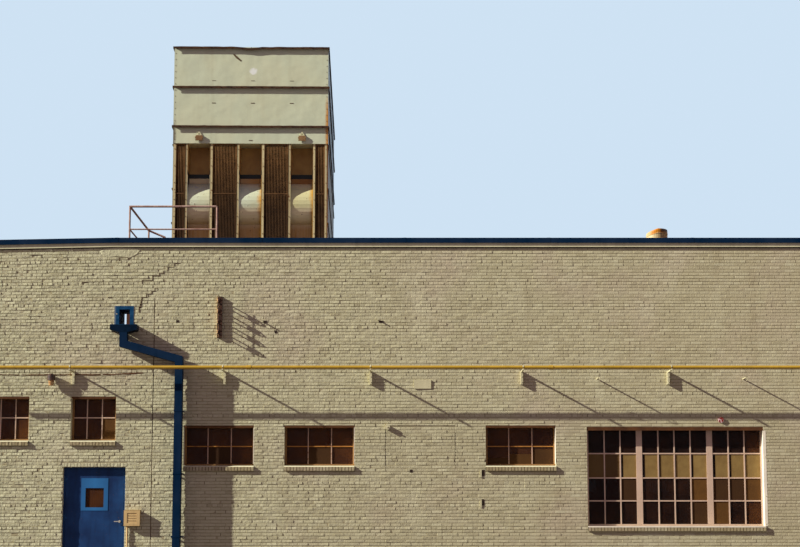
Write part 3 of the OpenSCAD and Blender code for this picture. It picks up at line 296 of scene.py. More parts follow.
def metal(name, base, wear=0.5, streaks=0.4, rough=0.5, rust=RUST, fine=28.0, specular=0.3, extra=None):
    """Painted sheet metal: streaked down its faces, with rust where wear is near 1."""
    paint = Paint(name, base, rough, specular)
    paint.stain(seen(base, 1.22, 0.01), 1.7, 5.0, 0.35, 0.75)
    paint.stain(seen(base, 0.62), 9.0, 5.0, 0.5, 0.78, streaks, 0.09)
    spots = paint.noise(fine, 6.0).fade(0.74 - 0.22 * wear, 0.80 - 0.2 * wear)
    paint.coat(spots, rust)
    if extra:
        extra(paint)
    return paint.done(paint.noise(14.0, 6.0), 0.0015, spots.fade(0.0, 1.0, rough, 0.85))


def red_cap(paint):
    """The rusty red paint, flaked to white, of the one capped pipe end among the fittings."""
    spot = paint.x.near(CAP_X, 0.12) * paint.z.near(CAP_Z, 0.12)
    paint.coat(spot.fade(0.05, 0.06), paint.mottle((120, 34, 22), (226, 190, 186), 24.0, 3.0, 0.52, 0.58))


def rusted(name, base, other, grain=30.0, specular=0.25, extra=None):
    """Bare steel with an uneven skin of rust."""
    paint = Paint(name, base, 0.85, specular)
    paint.stain(other, 5.0, 6.0, 0.35, 0.68)
    paint.stain(RUST_DARK, grain, 5.0, 0.5, 0.75, 0.7)
    if extra:
        extra(paint)
    return paint.done(paint.noise(grain * 2, 5.0), 0.003)


def dark_foot(paint):
    """The screens' rust, darker towards their foot."""
    paint.coat((paint.z + paint.noise(2.0, 3.0)).fade(FAN_TOP + 0.3, 9.2, 0.0, 0.72), (46, 29, 18))


def unit_paint():
    """The cream sheets of the casing: faint oil-canning, soft streaks and rust at the edges, with painted
    shade: blue-grey on its right-facing sides and dark brown on the front-facing sheets deep in the fan
    section.
    """
    paint = Paint("unit_paint", (206, 211, 177), 0.55, 0.2)
    x, y, z, facing = paint.x - UNIT_X, paint.y, paint.z, paint.normal()
    paint.stain((202, 210, 180), 0.9, 4.0, 0.35, 0.7)
    paint.stain((209, 205, 168), 1.6, 4.0, 0.5, 0.8, 0.5, 0.5)
    paint.stain((165, 157, 122), 6.0, 6.0, 0.55, 0.9, 0.3, 0.07)
    right_edge = (x + paint.noise(7.0, 5.0) * 0.06).fade(UNIT_HALF - 0.05, UNIT_HALF)
    paint.coat(right_edge * z.fade(MIDDLE_TOP - 0.2, MIDDLE_TOP - 0.6) * 0.9, (196, 128, 24))
    # Faces turned to the right get a blue-grey painted shade, paler on the upper casing.
    shaded_side_colour = paint.mix(z.fade(FAN_TOP + 0.4, FAN_TOP - 0.1), (146, 176, 188), (112, 116, 116))
    paint.coat(facing[0].fade(0.6, 0.9, 0.0, 0.85), shaded_side_colour)
    left_edge = (x + paint.noise(9.0, 5.0) * 0.06).fade(0.12 - UNIT_HALF, 0.06 - UNIT_HALF)
    paint.coat(left_edge * z.fade(LOWER_TOP + 0.1, LOWER_TOP - 0.05, 0.1, 0.75), RUST_DARK)
    # Front-facing sheets deep in the fan section get a dark brown painted shade.
    recess_shade = facing[1].fade(-0.6, -0.9) * y.fade(UNIT_Y + 0.7, UNIT_Y + 0.8) * z.fade(FAN_TOP, FAN_TOP - 0.01)
    paint.coat(recess_shade * 0.92, (70, 46, 30))
    torn = paint.noise(14.0, 5.0) * 0.08
    patch = (x + torn).near(PATCH_X + 0.04, 0.13) * (z + torn).near(PATCH_Z + 0.03, 0.11)
    paint.coat(patch.fade(0.12, 0.45, 0.0, 0.8), (240, 244, 238))
    paint.stain(RUST, 24.0, 6.0, 0.74, 0.80)
    return paint.done(paint.noise(1.9, 2.0), 0.016)


def fan_paint():
    """The fan housings: cream wrappers, orange at each bay's right edge and rusty towards their foot, and
    brown panels and sides, with painted light and shade over them.
    """
    paint = Paint("fan_paint", (208, 216, 186), 0.55, 0.3)
    x, z, streaks = paint.x - UNIT_X, paint.z, paint.noise(26.0, 4.0, 0.06)
    paint.stain((200, 202, 164), 2.2, 4.0, 0.35, 0.7)
    paint.coat(x.fade(0.6, 0.9, 0.0, 0.6), (206, 192, 122))
    # A streaked blue-grey over the upper scrolls, strongest at the left, is painted shade lit by the sky.
    blue = streaks.fade(0.42, 0.62) * x.fade(-0.7, 0.3, 1.0, 0.3) * z.fade(9.1, 9.3, 0.0, 0.6)
    paint.coat(blue, (150, 158, 178))
    # Pale cream just below the flange and over the scrolls' lower part is painted light.
    paint.coat(z.fade(9.25, 9.4) * x.fade(-0.7, 0.0, 0.2, 0.8), (244, 226, 186))
    paint.coat(z.fade(8.80, 8.68, 0.0, 0.95), (244, 230, 190))
    paint.coat(z.fade(8.55, 8.25) * streaks.fade(0.3, 0.7, 0.75, 1.0), (204, 148, 78))
    bay = (x - (FAN_X[0] - FAN_BAY / 2)).math("DIVIDE", FAN_X[1] - FAN_X[0]).math("FRACT")
    edge = (bay + paint.noise(5.0, 5.0) * 0.12).fade(0.44, 0.52)
    paint.coat(edge * x.fade(-0.6, 0.2, 0.1, 0.95), (208, 146, 14))
    paint.stain(RUST, 17.0, 6.0, 0.66, 0.74)
    worn = paint.mix(x.fade(-1.0, 0.2), (234, 216, 172), (212, 152, 78))
    worn = paint.mix(x.fade(0.5, 1.2), worn, (176, 120, 60))
    paint.coat(z.above(FLANGE_Z), worn)
    paint.coat(z.near(FLANGE_Z + 0.015, 0.015) * 0.5, (150, 106, 70))
    brown = paint.mottle((186, 150, 88), (164, 126, 72), 4.0, 5.0, 0.35, 0.7)
    # From just over the flange down, the brown turns nearly black: painted shadow on the panels' foot and
    # painted shade on the housings' sides.
    brown = paint.mix(z.fade(FLANGE_TOP + 0.12, FLANGE_TOP + 0.11), brown, (30, 17, 10))
    paint.coat(z.above(FLANGE_TOP).math("MAXIMUM", abs(paint.normal()[0]).fade(0.8, 0.95)), brown)
    return paint.done(paint.noise(16.0, 4.0))


def post_paint():
    """The unit's posts: old cream with rust, brighter or darker post by post."""
    paint = Paint("post_paint", (120, 100, 74), 0.6, 0.2)
    paint.coat(paint.tone(), (208, 194, 146))
    paint.stain((150, 118, 74), 9.0, 5.0, 0.5, 0.75, 0.6, 0.1)
    paint.stain(RUST, 20.0, 6.0, 0.63, 0.70)
    return paint.done(paint.noise(30.0, 5.0))


def glass_paint():
    """Dirty brown glass, clearer in the big window, whose rightmost column keeps a lighter brown as painted
    sunlight; it lets a little be seen behind it.
    """
    paint = Paint("dirty_glass", (70, 42, 28), 0.25, 0.06)
    paint.stain((88, 54, 30), 2.4, 4.0, 0.4, 0.66)
    clean = paint.mottle((34, 20, 15), (52, 31, 20), 3.0, 4.0, 0.4, 0.7)
    # The big window's rightmost column keeps most of the lighter brown: painted sunlight.
    clean = paint.mix(paint.x.fade(7.2, 7.3, 0.0, 0.7), clean, paint.colour)
    paint.coat(paint.x.above(BIG_LEFT_X, 0.01) * paint.y.fade(FRONT_Y + 1.0, FRONT_Y + 0.9), clean)
    paint.coat((paint.x * 150.0).math("SINE").fade(-1.0, 1.0, 0.16, 0.0), (20, 12, 8))
    plug(paint.tree, paint.shader["Alpha"], paint.noise(1.5, 4.0).fade(0.3, 0.7, 0.72, 0.86))
    return paint.done()


def pane_paint(name, dark, bright, stained):
    """The stained sheets and films on the windows' panes, each of a tone of its own."""
    paint = Paint(name, dark, 0.8, 0.1)
    paint.coat(paint.tone(), bright)
    paint.stain(stained, 5.0, 5.0, 0.4, 0.7, 0.35)
    return paint.done(paint.noise(30.0, 4.0))


def lamp_paint():
    """The wall lamp: a rusty shade over a stained lens."""
    paint = Paint("lamp_paint", (200, 166, 104), 0.5)
    paint.stain((132, 84, 44), 30.0, 4.0, 0.4, 0.6)
    paint.coat(paint.z.above(LENS_TOP, 0.001), paint.mottle((46, 28, 22), (84, 48, 28), 30.0, 5.0, 0.4, 0.65))
    return paint.done(paint.noise(60.0, 4.0))


def rack_paint():
    """The rack: nearly black steel, with a patchy cream painted highlight on its left-facing sides."""
    paint = Paint("rack_rust", (44, 30, 26), 0.8, 0.2)
    paint.stain((74, 46, 30), 24.0, 6.0, 0.35, 0.68)
    # Faces turned to the left get patches of cream: a painted highlight.
    paint.coat(paint.normal()[0].fade(-0.7, -0.9) * paint.noise(20.0, 4.0).fade(0.35, 0.55), (206, 160, 104))
    return paint.done(paint.noise(90.0, 5.0), 0.003)


def door_paint():
    """The blue door, faded and streaked, with a paler rim round its glass as a painted highlight."""
    paint = Paint("blue_door", (18, 42, 80), 0.5, 0.15)
    paint.stain((30, 66, 112), 2.2, 5.0, 0.35, 0.7)
    paint.stain((14, 26, 50), 12.0, 5.0, 0.5, 0.8, 0.5, 0.1)
    # The rim round the glass, standing proud of the door's face, is painted paler blue: a painted highlight.
    rim = paint.y.fade(DOOR_FACE - 0.001, DOOR_FACE - 0.004) * paint.x.near(DOOR_MID, 0.9) * 0.9
    paint.coat(rim, (48, 112, 166))
    paint.stain((104, 74, 58), 36.0, 6.0, 0.70, 0.75)
    return paint.done(paint.noise(14.0, 5.0), 0.0015)


def scupper_paint():
    """The blue outlet: a faded frame whose outer edges carry a pale painted highlight, over a nearly black
    box.
    """
    paint = Paint("scupper_paint", (0, 18, 34), 0.6, 0.05)
    paint.stain((4, 26, 46), 9.0, 4.0, 0.4, 0.6)
    paint.coat(paint.z.above(SCUPPER_SILL_Z), paint.mottle((14, 58, 92), (30, 74, 108), 9.0, 4.0, 0.4, 0.6))
    # The frame's outer edges are painted pale grey: a painted highlight.
    edges = abs(paint.x - SCUPPER_X).fade(0.2, 0.215)
    paint.coat(edges * paint.z.fade(SCUPPER_SILL_Z, SCUPPER_SILL_Z + 0.01, 0.0, 0.4), (140, 150, 160))
    return paint.done(paint.noise(14.0, 5.0), 0.0015)


def vent_paint():
    """The roof vent: pale on its left, orange in the middle and dark brown at its upper right."""
    paint = Paint("vent_paint", (204, 188, 142), 0.55, 0.3)
    across = paint.x - VENT_X
    slant = paint.z + across.fade(0.0, -0.235, 0.0, COWL_FALL)
    across = across + paint.noise(9.0, 3.0) * 0.08
    paint.coat(across.fade(-0.1, 0.26), (150, 104, 48))
    paint.coat(slant.fade(VENT_TOP - 0.14, VENT_TOP - 0.11) * across.fade(-0.22, -0.08), (196, 122, 18))
    paint.coat(slant.fade(VENT_TOP - 0.14, VENT_TOP - 0.09) * across.fade(0.04, 0.12), (70, 40, 16))
    paint.stain((150, 104, 54), 12.0, 5.0, 0.5, 0.8, 0.5, 0.15)
    return paint.done(paint.noise(30.0, 5.0))


def concrete(name, base, patch, grain=22.0, depth=0.002):
    """Concrete, roofing, old dirt and painted shadow, all patchy with dark specks."""
    paint = Paint(name, base, 0.9, 0.2)
    paint.stain(patch, 0.5, 5.0, 0.35, 0.7)
    paint.stain(seen(base, 0.55), grain, 6.0, 0.5, 0.72, 0.5)
    return paint.done(paint.noise(grain * 2, 5.0), depth)


BRICK = brick_paint("painted_brick", PAINT, PAINT_RIGHT)
SILL = brick_paint("painted_sills", (158, 144, 106), (158, 144, 106))
JOINTS = joint_paint()
BLUE = metal("blue_sheet", (0, 30, 56), 0.05, 0.5, 0.6, rust=(20, 34, 52), specular=0.04)
DOOR_BLUE = door_paint()
SCUPPER_BLUE = scupper_paint()
TRIM = metal("cream_trim", (198, 194, 158), 0.2, 0.4, 0.7, specular=0.2)
FITTING = metal("cream_steel", (190, 183, 146), 0.38, 0.5, 0.6, fine=60.0, extra=red_cap)
BOX_PAINT = metal("box_paint", (196, 166, 112), 0.3, 0.5, 0.55, fine=60.0)
SASH = metal("sash_paint", (196, 168, 144), 0.4, 0.3, 0.6, fine=60.0)
SASH_DARK = metal("sash_rusty", (140, 104, 60), 0.6, 0.3, 0.75, fine=50.0)
SASH_WORN = metal("sash_worn", (184, 152, 128), 0.7, 0.4, 0.7, fine=12.0)
SASH_RUST = metal("sash_orange", (166, 112, 44), 0.6, 0.4, 0.7, fine=12.0)
WHITE_TRIM = metal("white_trim", (226, 216, 192), 0.2, 0.4, 0.6, fine=50.0)
YELLOW = metal("yellow_paint", (172, 137, 38), 0.2, 0.5, 0.5, fine=40.0)
STEEL = metal("handle_steel", (160, 156, 148), 0.0, 0.2, 0.35)
BLADE = metal("blade_plastic", (56, 54, 50), 0.0, 0.6, 0.7)
LAMP = lamp_paint()
ORANGE = vent_paint()
HEAD_RUST = rusted("lintel_rust", (96, 58, 26), (70, 42, 20))
LUG_RUST = rusted("lug_rust", (150, 118, 78), (120, 84, 50), 50.0)
STEEL_RUST = rusted("steel_rust", (104, 60, 36), (74, 44, 28))
RAIL_RUST = rusted("rail_rust", (178, 150, 134), (148, 112, 98))
LIP_RUST = rusted("lip_rust", (54, 33, 18), (80, 52, 28))
RACK_RUST = rack_paint()
WIRE_RUST = rusted("wire_rust", (150, 110, 66), (116, 82, 46), 50.0, 0.2, dark_foot)
POST = post_paint()
UNIT = unit_paint()
FAN = fan_paint()
GLASS = glass_paint()
FILM = pane_paint("pane_film", (36, 22, 17), (100, 68, 31), (56, 34, 20))
SCREEN = pane_paint("pane_screen", (62, 42, 30), (146, 120, 70), (96, 68, 36))
CONCRETE = concrete("floor_concrete", (150, 144, 134), (128, 120, 108))
ROOFING = concrete("roofing", (176, 168, 154), (142, 136, 126), 60.0, 0.006)
DARK = concrete("dark_gap", (58, 42, 34), (42, 30, 24), 60.0)
CRACK = concrete("old_crack", (104, 86, 64), (84, 66, 48), 60.0)

DRESS = {
    JOINTS: ("wall_front_left wall_over_door wall_front_middle wall_big_window_bay wall_front_right "
             "wall_front_upper walls_side wall_rear brick_infill"),
    CONCRETE: "floor_slab",
    ROOFING: "roof_deck",
    STEEL_RUST: "roof_beams unit_legs service_platform",
    BLUE: "coping_front copings_side coping_rear downspout",
    SCUPPER_BLUE: "scupper_head",
    DOOR_BLUE: "door_frame door_leaf",
    TRIM: "band_front",
    FITTING: "pipe_brackets wall_fittings",
    BOX_PAINT: "electric_box",
    HEAD_RUST: "lintel_angles",
    SASH_DARK: "window_sashes",
    SASH: "big_window_sash",
    GLASS: "window_glass door_glass",
    STEEL: "door_handle",
    YELLOW: "gas_pipe",
    RACK_RUST: "wall_rack",
    LAMP: "wall_lamp",
    UNIT: "plenum_housing fan_sides casing_lower casing_middle casing_upper",
    FAN: "fan_scrolls",
    BLADE: "drift_eliminators",
}
for material, names in DRESS.items():
    for name in names.split():
        nodes[name].data.materials.clear()
        nodes[name].data.materials.append(material)


# Mesh building

def add_object(name, data):
    """Puts an object into the scene."""
    thing = bpy.data.objects.new(name, data)
    scene.collection.objects.link(thing)
    return thing


class Solid:
    """Collects faces and turns them into one object. Place turns its own points into the part's."""

    def __init__(self, place=Vector):
        self.place = place
        self.points, self.faces, self.tones = [], [], []

    def prism(self, foot, top, tone=0.5, ends=(True, True)):
        """Joins two outlines of as many points, seen from the top as turning anticlockwise."""
        self.join([self.place(p) for p in foot], [self.place(p) for p in top], tone, ends)

    def join(self, foot, top, tone=0.5, ends=(True, True)):
        first, n = len(self.points), len(foot)
        self.points += [*foot, *top]
        self.tones += [tone] * (2 * n)
        faces = [(i, (i + 1) % n, n + (i + 1) % n, n + i) for i in range(n)]
        if ends[0]:
            faces.append(range(n - 1, -1, -1))
        if ends[1]:
            faces.append(range(n, 2 * n))
        self.faces += [tuple(first + i for i in face) for face in faces]

    def box(self, low, high, tone=0.5):
        (x0, y0, z0), (x1, y1, z1) = low, high
        corners = ((x0, y0), (x1, y0), (x1, y1), (x0, y1))
        self.prism(*([Vector((x, y, z)) for x, y in corners] for z in (z0, z1)), tone)

    def rod(self, a, b, radius, sides=8):
        """A round bar between two points."""
        a, b = self.place(a), self.place(b)
        turn = (b - a).to_track_quat("Z", "Y")
        rim = [turn @ Vector((radius * cos(t), radius * sin(t), 0))
               for t in (2 * pi * i / sides for i in range(sides))]
        self.join([a + p for p in rim], [b + p for p in rim])

    def finish(self, name, material, slot="painted_brick", stands_for=None):
        mesh = bpy.data.meshes.new(name)
        mesh.from_pydata([tuple(p) for p in self.points], [], self.faces)
        layer = mesh.attributes.new("tone", "FLOAT", "POINT")
        layer.data.foreach_set("value", self.tones)
        mesh.materials.append(material)
        piece = add_object(name, mesh)
        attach(piece, "building")
        if stands_for:
            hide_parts(stands_for)


def on_unit(p):
    """A point of the cooling unit's own frame in the part's frame."""
    c, s = cos(UNIT_TURN), sin(UNIT_TURN)
    return Vector((UNIT_X + p[0] * c - p[1] * s, UNIT_Y + p[0] * s + p[1] * c, p[2]))


def strip(solid, x0, z0, x1, z1, proud):
    """A thin plate that lies on the front wall's face and stands proud of it."""
    solid.box((x0, FRONT_Y - proud, z0), (x1, FRONT_Y + BITE, z1))


def islands(node):
    """The boxes of the separate solids of a node, each as its lowest and highest corner."""
    mesh = nodes[node].data
    home = list(range(len(mesh.vertices)))

    def root(i):
        while home[i] != i:
            home[i] = home[home[i]]
            i = home[i]
        return i

    spots = {}
    for v in mesh.vertices:
        key = tuple(round(c, 4) for c in v.co)
        home[v.index] = spots.setdefault(key, v.index)
    for e in mesh.edges:
        home[root(e.vertices[0])] = root(e.vertices[1])
    boxes = {}
    for v in mesh.vertices:
        low, high = boxes.setdefault(root(v.index), (v.co.copy(), v.co.copy()))
        for k in range(3):
            low[k], high[k] = min(low[k], v.co[k]), max(high[k], v.co[k])
    return sorted(boxes.values(), key=lambda b: (b[0].x, b[0].y))


# Walls as seen from outside: s runs to the right along the wall, n stands out of it

class Side:
    def __init__(self, name, middle, along, out, length):
        self.name, self.middle, self.length = name, Vector(middle), length
        self.along, self.out = Vector(along), Vector(out)

    def at(self, s, n, z):
        return self.middle + self.along * s + self.out * n + Vector((0, 0, z))

    def span(self, box):
        """Where a box lies along the wall."""
        ends = [(Vector((p.x, p.y, 0)) - self.middle).dot(self.along) for p in box]
        return min(ends), max(ends)

    def holds(self, box):
        return abs((Vector((box[0].x, box[0].y, 0)) - self.middle).dot(self.out)) < WALL_T


FRONT = Side("front", (0, FRONT_Y, 0), (1, 0, 0), (0, -1, 0), RIGHT_X - LEFT_X)
REAR = Side("rear", (0, REAR_Y, 0), (-1, 0, 0), (0, 1, 0), RIGHT_X - LEFT_X)
LEFT = Side("left", (LEFT_X, 0, 0), (0, -1, 0), (-1, 0, 0), REAR_Y - FRONT_Y)
RIGHT = Side("right", (RIGHT_X, 0, 0), (0, 1, 0), (1, 0, 0), REAR_Y - FRONT_Y)
SIDES = (FRONT, REAR, LEFT, RIGHT)
PANES = islands("window_glass")


def window_holes(side):
    """Each window's opening on a side: its left edge, bottom, right edge and top."""
    found = []
    for box in PANES:
        if side.holds(box):
            s0, s1 = side.span(box)
            found.append((s0 - SASH_LAP, box[0].z - SASH_LAP, s1 + SASH_LAP, box[1].z + SASH_LAP))
    return sorted(found)


def sill_holes(side):
    return [(s0, z0 - SILL_H, s1, z0) for s0, z0, s1, z1 in HOLES[side.name]]


HOLES = {side.name: window_holes(side) for side in SIDES}
BIG = max(HOLES["front"], key=lambda h: h[2] - h[0])
SMALL = HOLES["front"][:2]
STRIPS = [hole for hole in HOLES["front"] if hole not in SMALL and hole is not BIG]
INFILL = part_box("brick_infill")
SCUPPER = (-5.935, 5.125, -5.695, 5.486)
CAULK_X, CAULK_TOP, CAULK_HALF = -5.18, 5.72, 0.008


def sunk(side, s, z):
    """How far a point of the front's brickwork has settled."""
    if side is not FRONT or s > CREST_X or z < SETTLE_FROM_Z:
        return 0.0
    share = (CREST_X - s) / (CREST_X - LEFT_X - WALL_T)
    return SETTLE * share * (z - SETTLE_FROM_Z) / (WALL_TOP - SETTLE_FROM_Z)


def cut(rect, holes):
    """What is left of a brick's face once the openings are taken out."""
    parts = [rect]
    for h in holes:
        left = []
        for a in parts:
            if h[0] >= a[2] or h[2] <= a[0] or h[1] >= a[3] or h[3] <= a[1]:
                left.append(a)
                continue
            s0, s1 = max(a[0], h[0]), min(a[2], h[2])
            left += [(a[0], a[1], s0, a[3]), (s1, a[1], a[2], a[3]),
                     (s0, a[1], s1, h[1]), (s0, h[3], s1, a[3])]
        parts = [p for p in left if p[2] - p[0] > 0.02 and p[3] - p[1] > 0.015]
    return parts


def lay_brick(skin, side, rect, out, rough, tone):
    """One brick face: a low block with chamfered edges, set a little askew."""
    s0, z0, s1, z1 = rect
    c = min(CHAMFER, (s1 - s0) / 4, (z1 - z0) / 4)
    yaw, pitch = chance.uniform(-rough, rough) * 0.020, chance.uniform(-rough, rough) * 0.034
    proud = out + RELIEF * max(0.3, 0.88 + 0.16 * rough + 0.33 * rough * chance.uniform(-1, 1))
    mid_s, mid_z = (s0 + s1) / 2, (z0 + z1) / 2

    def corner(s, z, n):
        return side.at(s, n, z - sunk(side, s, z))

    foot = [corner(s, z, out) for s, z in ((s0, z0), (s1, z0), (s1, z1), (s0, z1))]
    top = [corner(s, z, proud + yaw * (s - mid_s) + pitch * (z - mid_z))
           for s, z in ((s0 + c, z0 + c), (s1 - c, z0 + c), (s1 - c, z1 - c), (s0 + c, z1 - c))]
    skin.prism(foot, top, tone, ends=(False, True))


def brick_skin(side, holes, low, high, span=None, out=0.0, name=None):
    """Lays the bricks of one wall over its plain face, and dark strips in the front's open joints."""
    skin, joints = Solid(), Solid()
    half = side.length / 2
    start, end = span or (-half, half)
    for course in range(int(low / COURSE_H), int(high / COURSE_H) + 1):
        z0 = max(low, course * COURSE_H + JOINT / 2)
        z1 = min(high, (course + 1) * COURSE_H - JOINT / 2)
        if z1 - z0 < 0.02:
            continue
        header = course % HEADER_EVERY == HEADER_FIRST
        pitch = (HEADER_L if header else BRICK_L) + JOINT
        shift = (course % 2) * pitch / 2 - (course % 5) * 0.004
        for i in range(int((start + half) / pitch) - 1, int((end + half) / pitch) + 2):
            s = -half + i * pitch + shift
            share = (s + half) / side.length if side is FRONT else 0.5
            half_open = chance.random() < (0.60 if header else 0.32) - 0.28 * share
            dark = half_open and chance.random() < (0.5 if header else 0.14) * (1 - 0.9 * share)
            gap = JOINT if dark else HALF_JOINT if half_open else FILLED_JOINT
            brick = (max(s, start), z0, min(s + pitch - gap, end), z1)
            if brick[2] - brick[0] < 0.03:
                continue
            at_hole = any(h[0] - JOINT < brick[2] < h[2] and h[1] < z0 < h[3] for h in holes)
            if side is FRONT and dark and not at_hole:
                drop = sunk(side, brick[2], z0)
                strip(joints, brick[2], z0 - drop, brick[2] + JOINT * chance.uniform(0.5, 0.9), z1 - drop,
                      out + 0.0025)
            rough = ROUGH_LEFT + (ROUGH_RIGHT - ROUGH_LEFT) * share
            tone = min(1.0, max(0.0, chance.gauss(0.5 + (0.05 if header else 0), 0.16 + 0.06 * header)))
            for part in cut(brick, holes):
                lay_brick(skin, side, part, out, rough * (1.3 if header else 1.0), tone)
    if joints.points:
        joints.finish("open_joints_" + (name or side.name), CRACK)
    skin.finish(name or "bricks_" + side.name, BRICK)


def rowlock_sills(side):
    """Bricks on edge that cover each solid sill, with dark seams between them."""
    skin, seams = Solid(), Solid()
    width, gap, proud, in_n = 0.053, 0.015, 0.003, -0.16
    foot = -SILL_H + 0.004
    seam = ((0.0, foot), (SILL_OUT + 0.0012, foot), (SILL_OUT + 0.0012, -SILL_FALL), (in_n, 0.0012))
    for s0, z0, s1, z1 in HOLES[side.name]:
        count = round((s1 - s0 + gap) / (width + gap))
        pitch = (s1 - s0 + gap) / count

        def lay(solid, outline, a, b, tone=0.5):
            solid.prism(*([side.at(s, n, z0 + z) for n, z in outline] for s in (a, b)), tone)

        for i in range(count):
            a = s0 + i * pitch
            if i:
                lay(seams, seam, a - gap, a)
            lift = chance.uniform(-0.0015, 0.002)
            nose = SILL_OUT + proud + lift
            outline = ((0.0, foot), (nose, foot), (nose, -SILL_FALL + lift), (in_n, proud + lift))
            lay(skin, outline, a, a + pitch - gap, chance.gauss(0.42, 0.14))
    skin.finish("sills_" + side.name, SILL)
    seams.finish("sill_seams_" + side.name, CRACK)


door_head = (DOOR[0].x - 0.04, DOOR[1].z, DOOR[1].x + 0.04, DOOR[1].z + DOOR_HEAD_H)
front_holes = HOLES["front"] + [
    (INFILL[0].x, INFILL[0].z, INFILL[1].x, INFILL[1].z),
    (DOOR[0].x, 0.0, DOOR[1].x, DOOR[1].z), door_head, SCUPPER,
    (CAULK_X - CAULK_HALF, 0.0, CAULK_X + CAULK_HALF, CAULK_TOP),
] + sill_holes(FRONT)
brick_skin(FRONT, front_holes, 0.0, BAND_FOOT)
brick_skin(FRONT, [], INFILL[0].z + 0.004, INFILL[1].z - 0.004,
           span=(INFILL[0].x + 0.006, INFILL[1].x - 0.006), out=-0.002, name="bricks_infill")
for side in (REAR, LEFT, RIGHT):
    side_top = WALL_TOP - 0.13 - (SETTLE if side is LEFT else 0)
    brick_skin(side, HOLES[side.name] + sill_holes(side), 0.0, side_top)
for side in SIDES:
    rowlock_sills(side)


def door_head_bricks():
    """Bricks on edge over the door."""
    head = Solid()
    left, low, right, high = door_head
    pitch = (right - left) / DOOR_HEAD_BRICKS
    for i in range(DOOR_HEAD_BRICKS):
        rect = (left + i * pitch, low + 0.004, left + (i + 1) * pitch - JOINT, high - 0.006)
        lay_brick(head, FRONT, rect, 0.0, 1.2, chance.gauss(0.55, 0.15))
    head.finish("door_head_bricks", BRICK)


door_head_bricks()

# Wear of the front wall: each crack's route and width, and dark spots by middle and size: rests of fixings,
# and painted shadows beside the two wall clips
CRACKS = [
    ([(-5.5, 6.72), (-5.62, 6.66), (-5.73, 6.58), (-5.95, 6.52)], 0.032),
    ([(-4.65, 6.46), (-4.92, 6.3), (-5.1, 6.19), (-5.24, 6.1), (-5.46, 6.03)], 0.020),
    ([(-5.12, 5.92), (-5.25, 5.81), (-5.36, 5.73), (-5.455, 5.69)], 0.032),
    ([(-5.455, 5.69), (-5.48, 5.52), (-5.51, 5.43)], 0.038),
    ([(-6.46, 6.06), (-6.73, 6.02)], 0.016),
    ([(-6.1, 5.73), (-6.16, 5.73)], 0.026),
    ([(-7.83, 6.64), (-7.6, 6.58)], 0.014),
]
# The two tall spots at X 1.73 are painted shadows of the wall clips.
SPOTS = [(-2.86, 5.215, 0.10, 0.05), (-2.62, 5.0, 0.05, 0.06), (-0.40, 5.215, 0.10, 0.04),
         (1.735, 2.04, 0.05, 0.13), (1.725, 1.43, 0.05, 0.13), (0.232, 2.08, 0.055, 0.055)]
PARGE = [(-6.34, 6.65), (-6.20, 6.58), (-5.95, 6.61), (-5.72, 6.56), (-5.55, 6.66),
         (-5.50, 6.74), (-5.66, 6.80), (-5.95, 6.815), (-6.22, 6.80), (-6.37, 6.73)]
PARGE_X, PARGE_Z = -5.93, 6.7
CRACK_PROUD = RELIEF * 2.6
SPOT_PROUD = RELIEF * 2.4
STAIN_PROUD = RELIEF * 2.7
# The stain over the gas pipe: its foot, the length of its pieces and their number, and where it swells
STAIN_Z, STAIN_L, STAIN_COUNT = 4.086, 0.1486, 28
STAIN_RISE_X, STAIN_THICK_X = -6.2, -6.9
# The painted shadow line under the band: the length and number of its pieces, and its height
BAND_SHADOW_L, BAND_SHADOW_COUNT, BAND_SHADOW_H = 0.3, 64, 0.024


def cracks(gaps):
    for route, width in CRACKS:
        for a, b in zip(route, route[1:]):
            steps = max(1, round(abs(b[1] - a[1]) / COURSE_H))
            for i in range(steps):
                p, q = ([a[k] + (b[k] - a[k]) * (i + j) / steps for k in (0, 1)] for j in (0, 1))
                size = width * chance.uniform(0.3, 0.75)
                for c, d, w in ((p, (q[0], p[1]), size * 0.7), ((q[0], p[1]), q, size)):
                    s0, s1 = sorted((c[0], d[0]))
                    z0, z1 = sorted((c[1], d[1]))
                    strip(gaps, s0 - w / 2, z0 - w / 2, s1 + w / 2, z1 + w / 2, CRACK_PROUD)


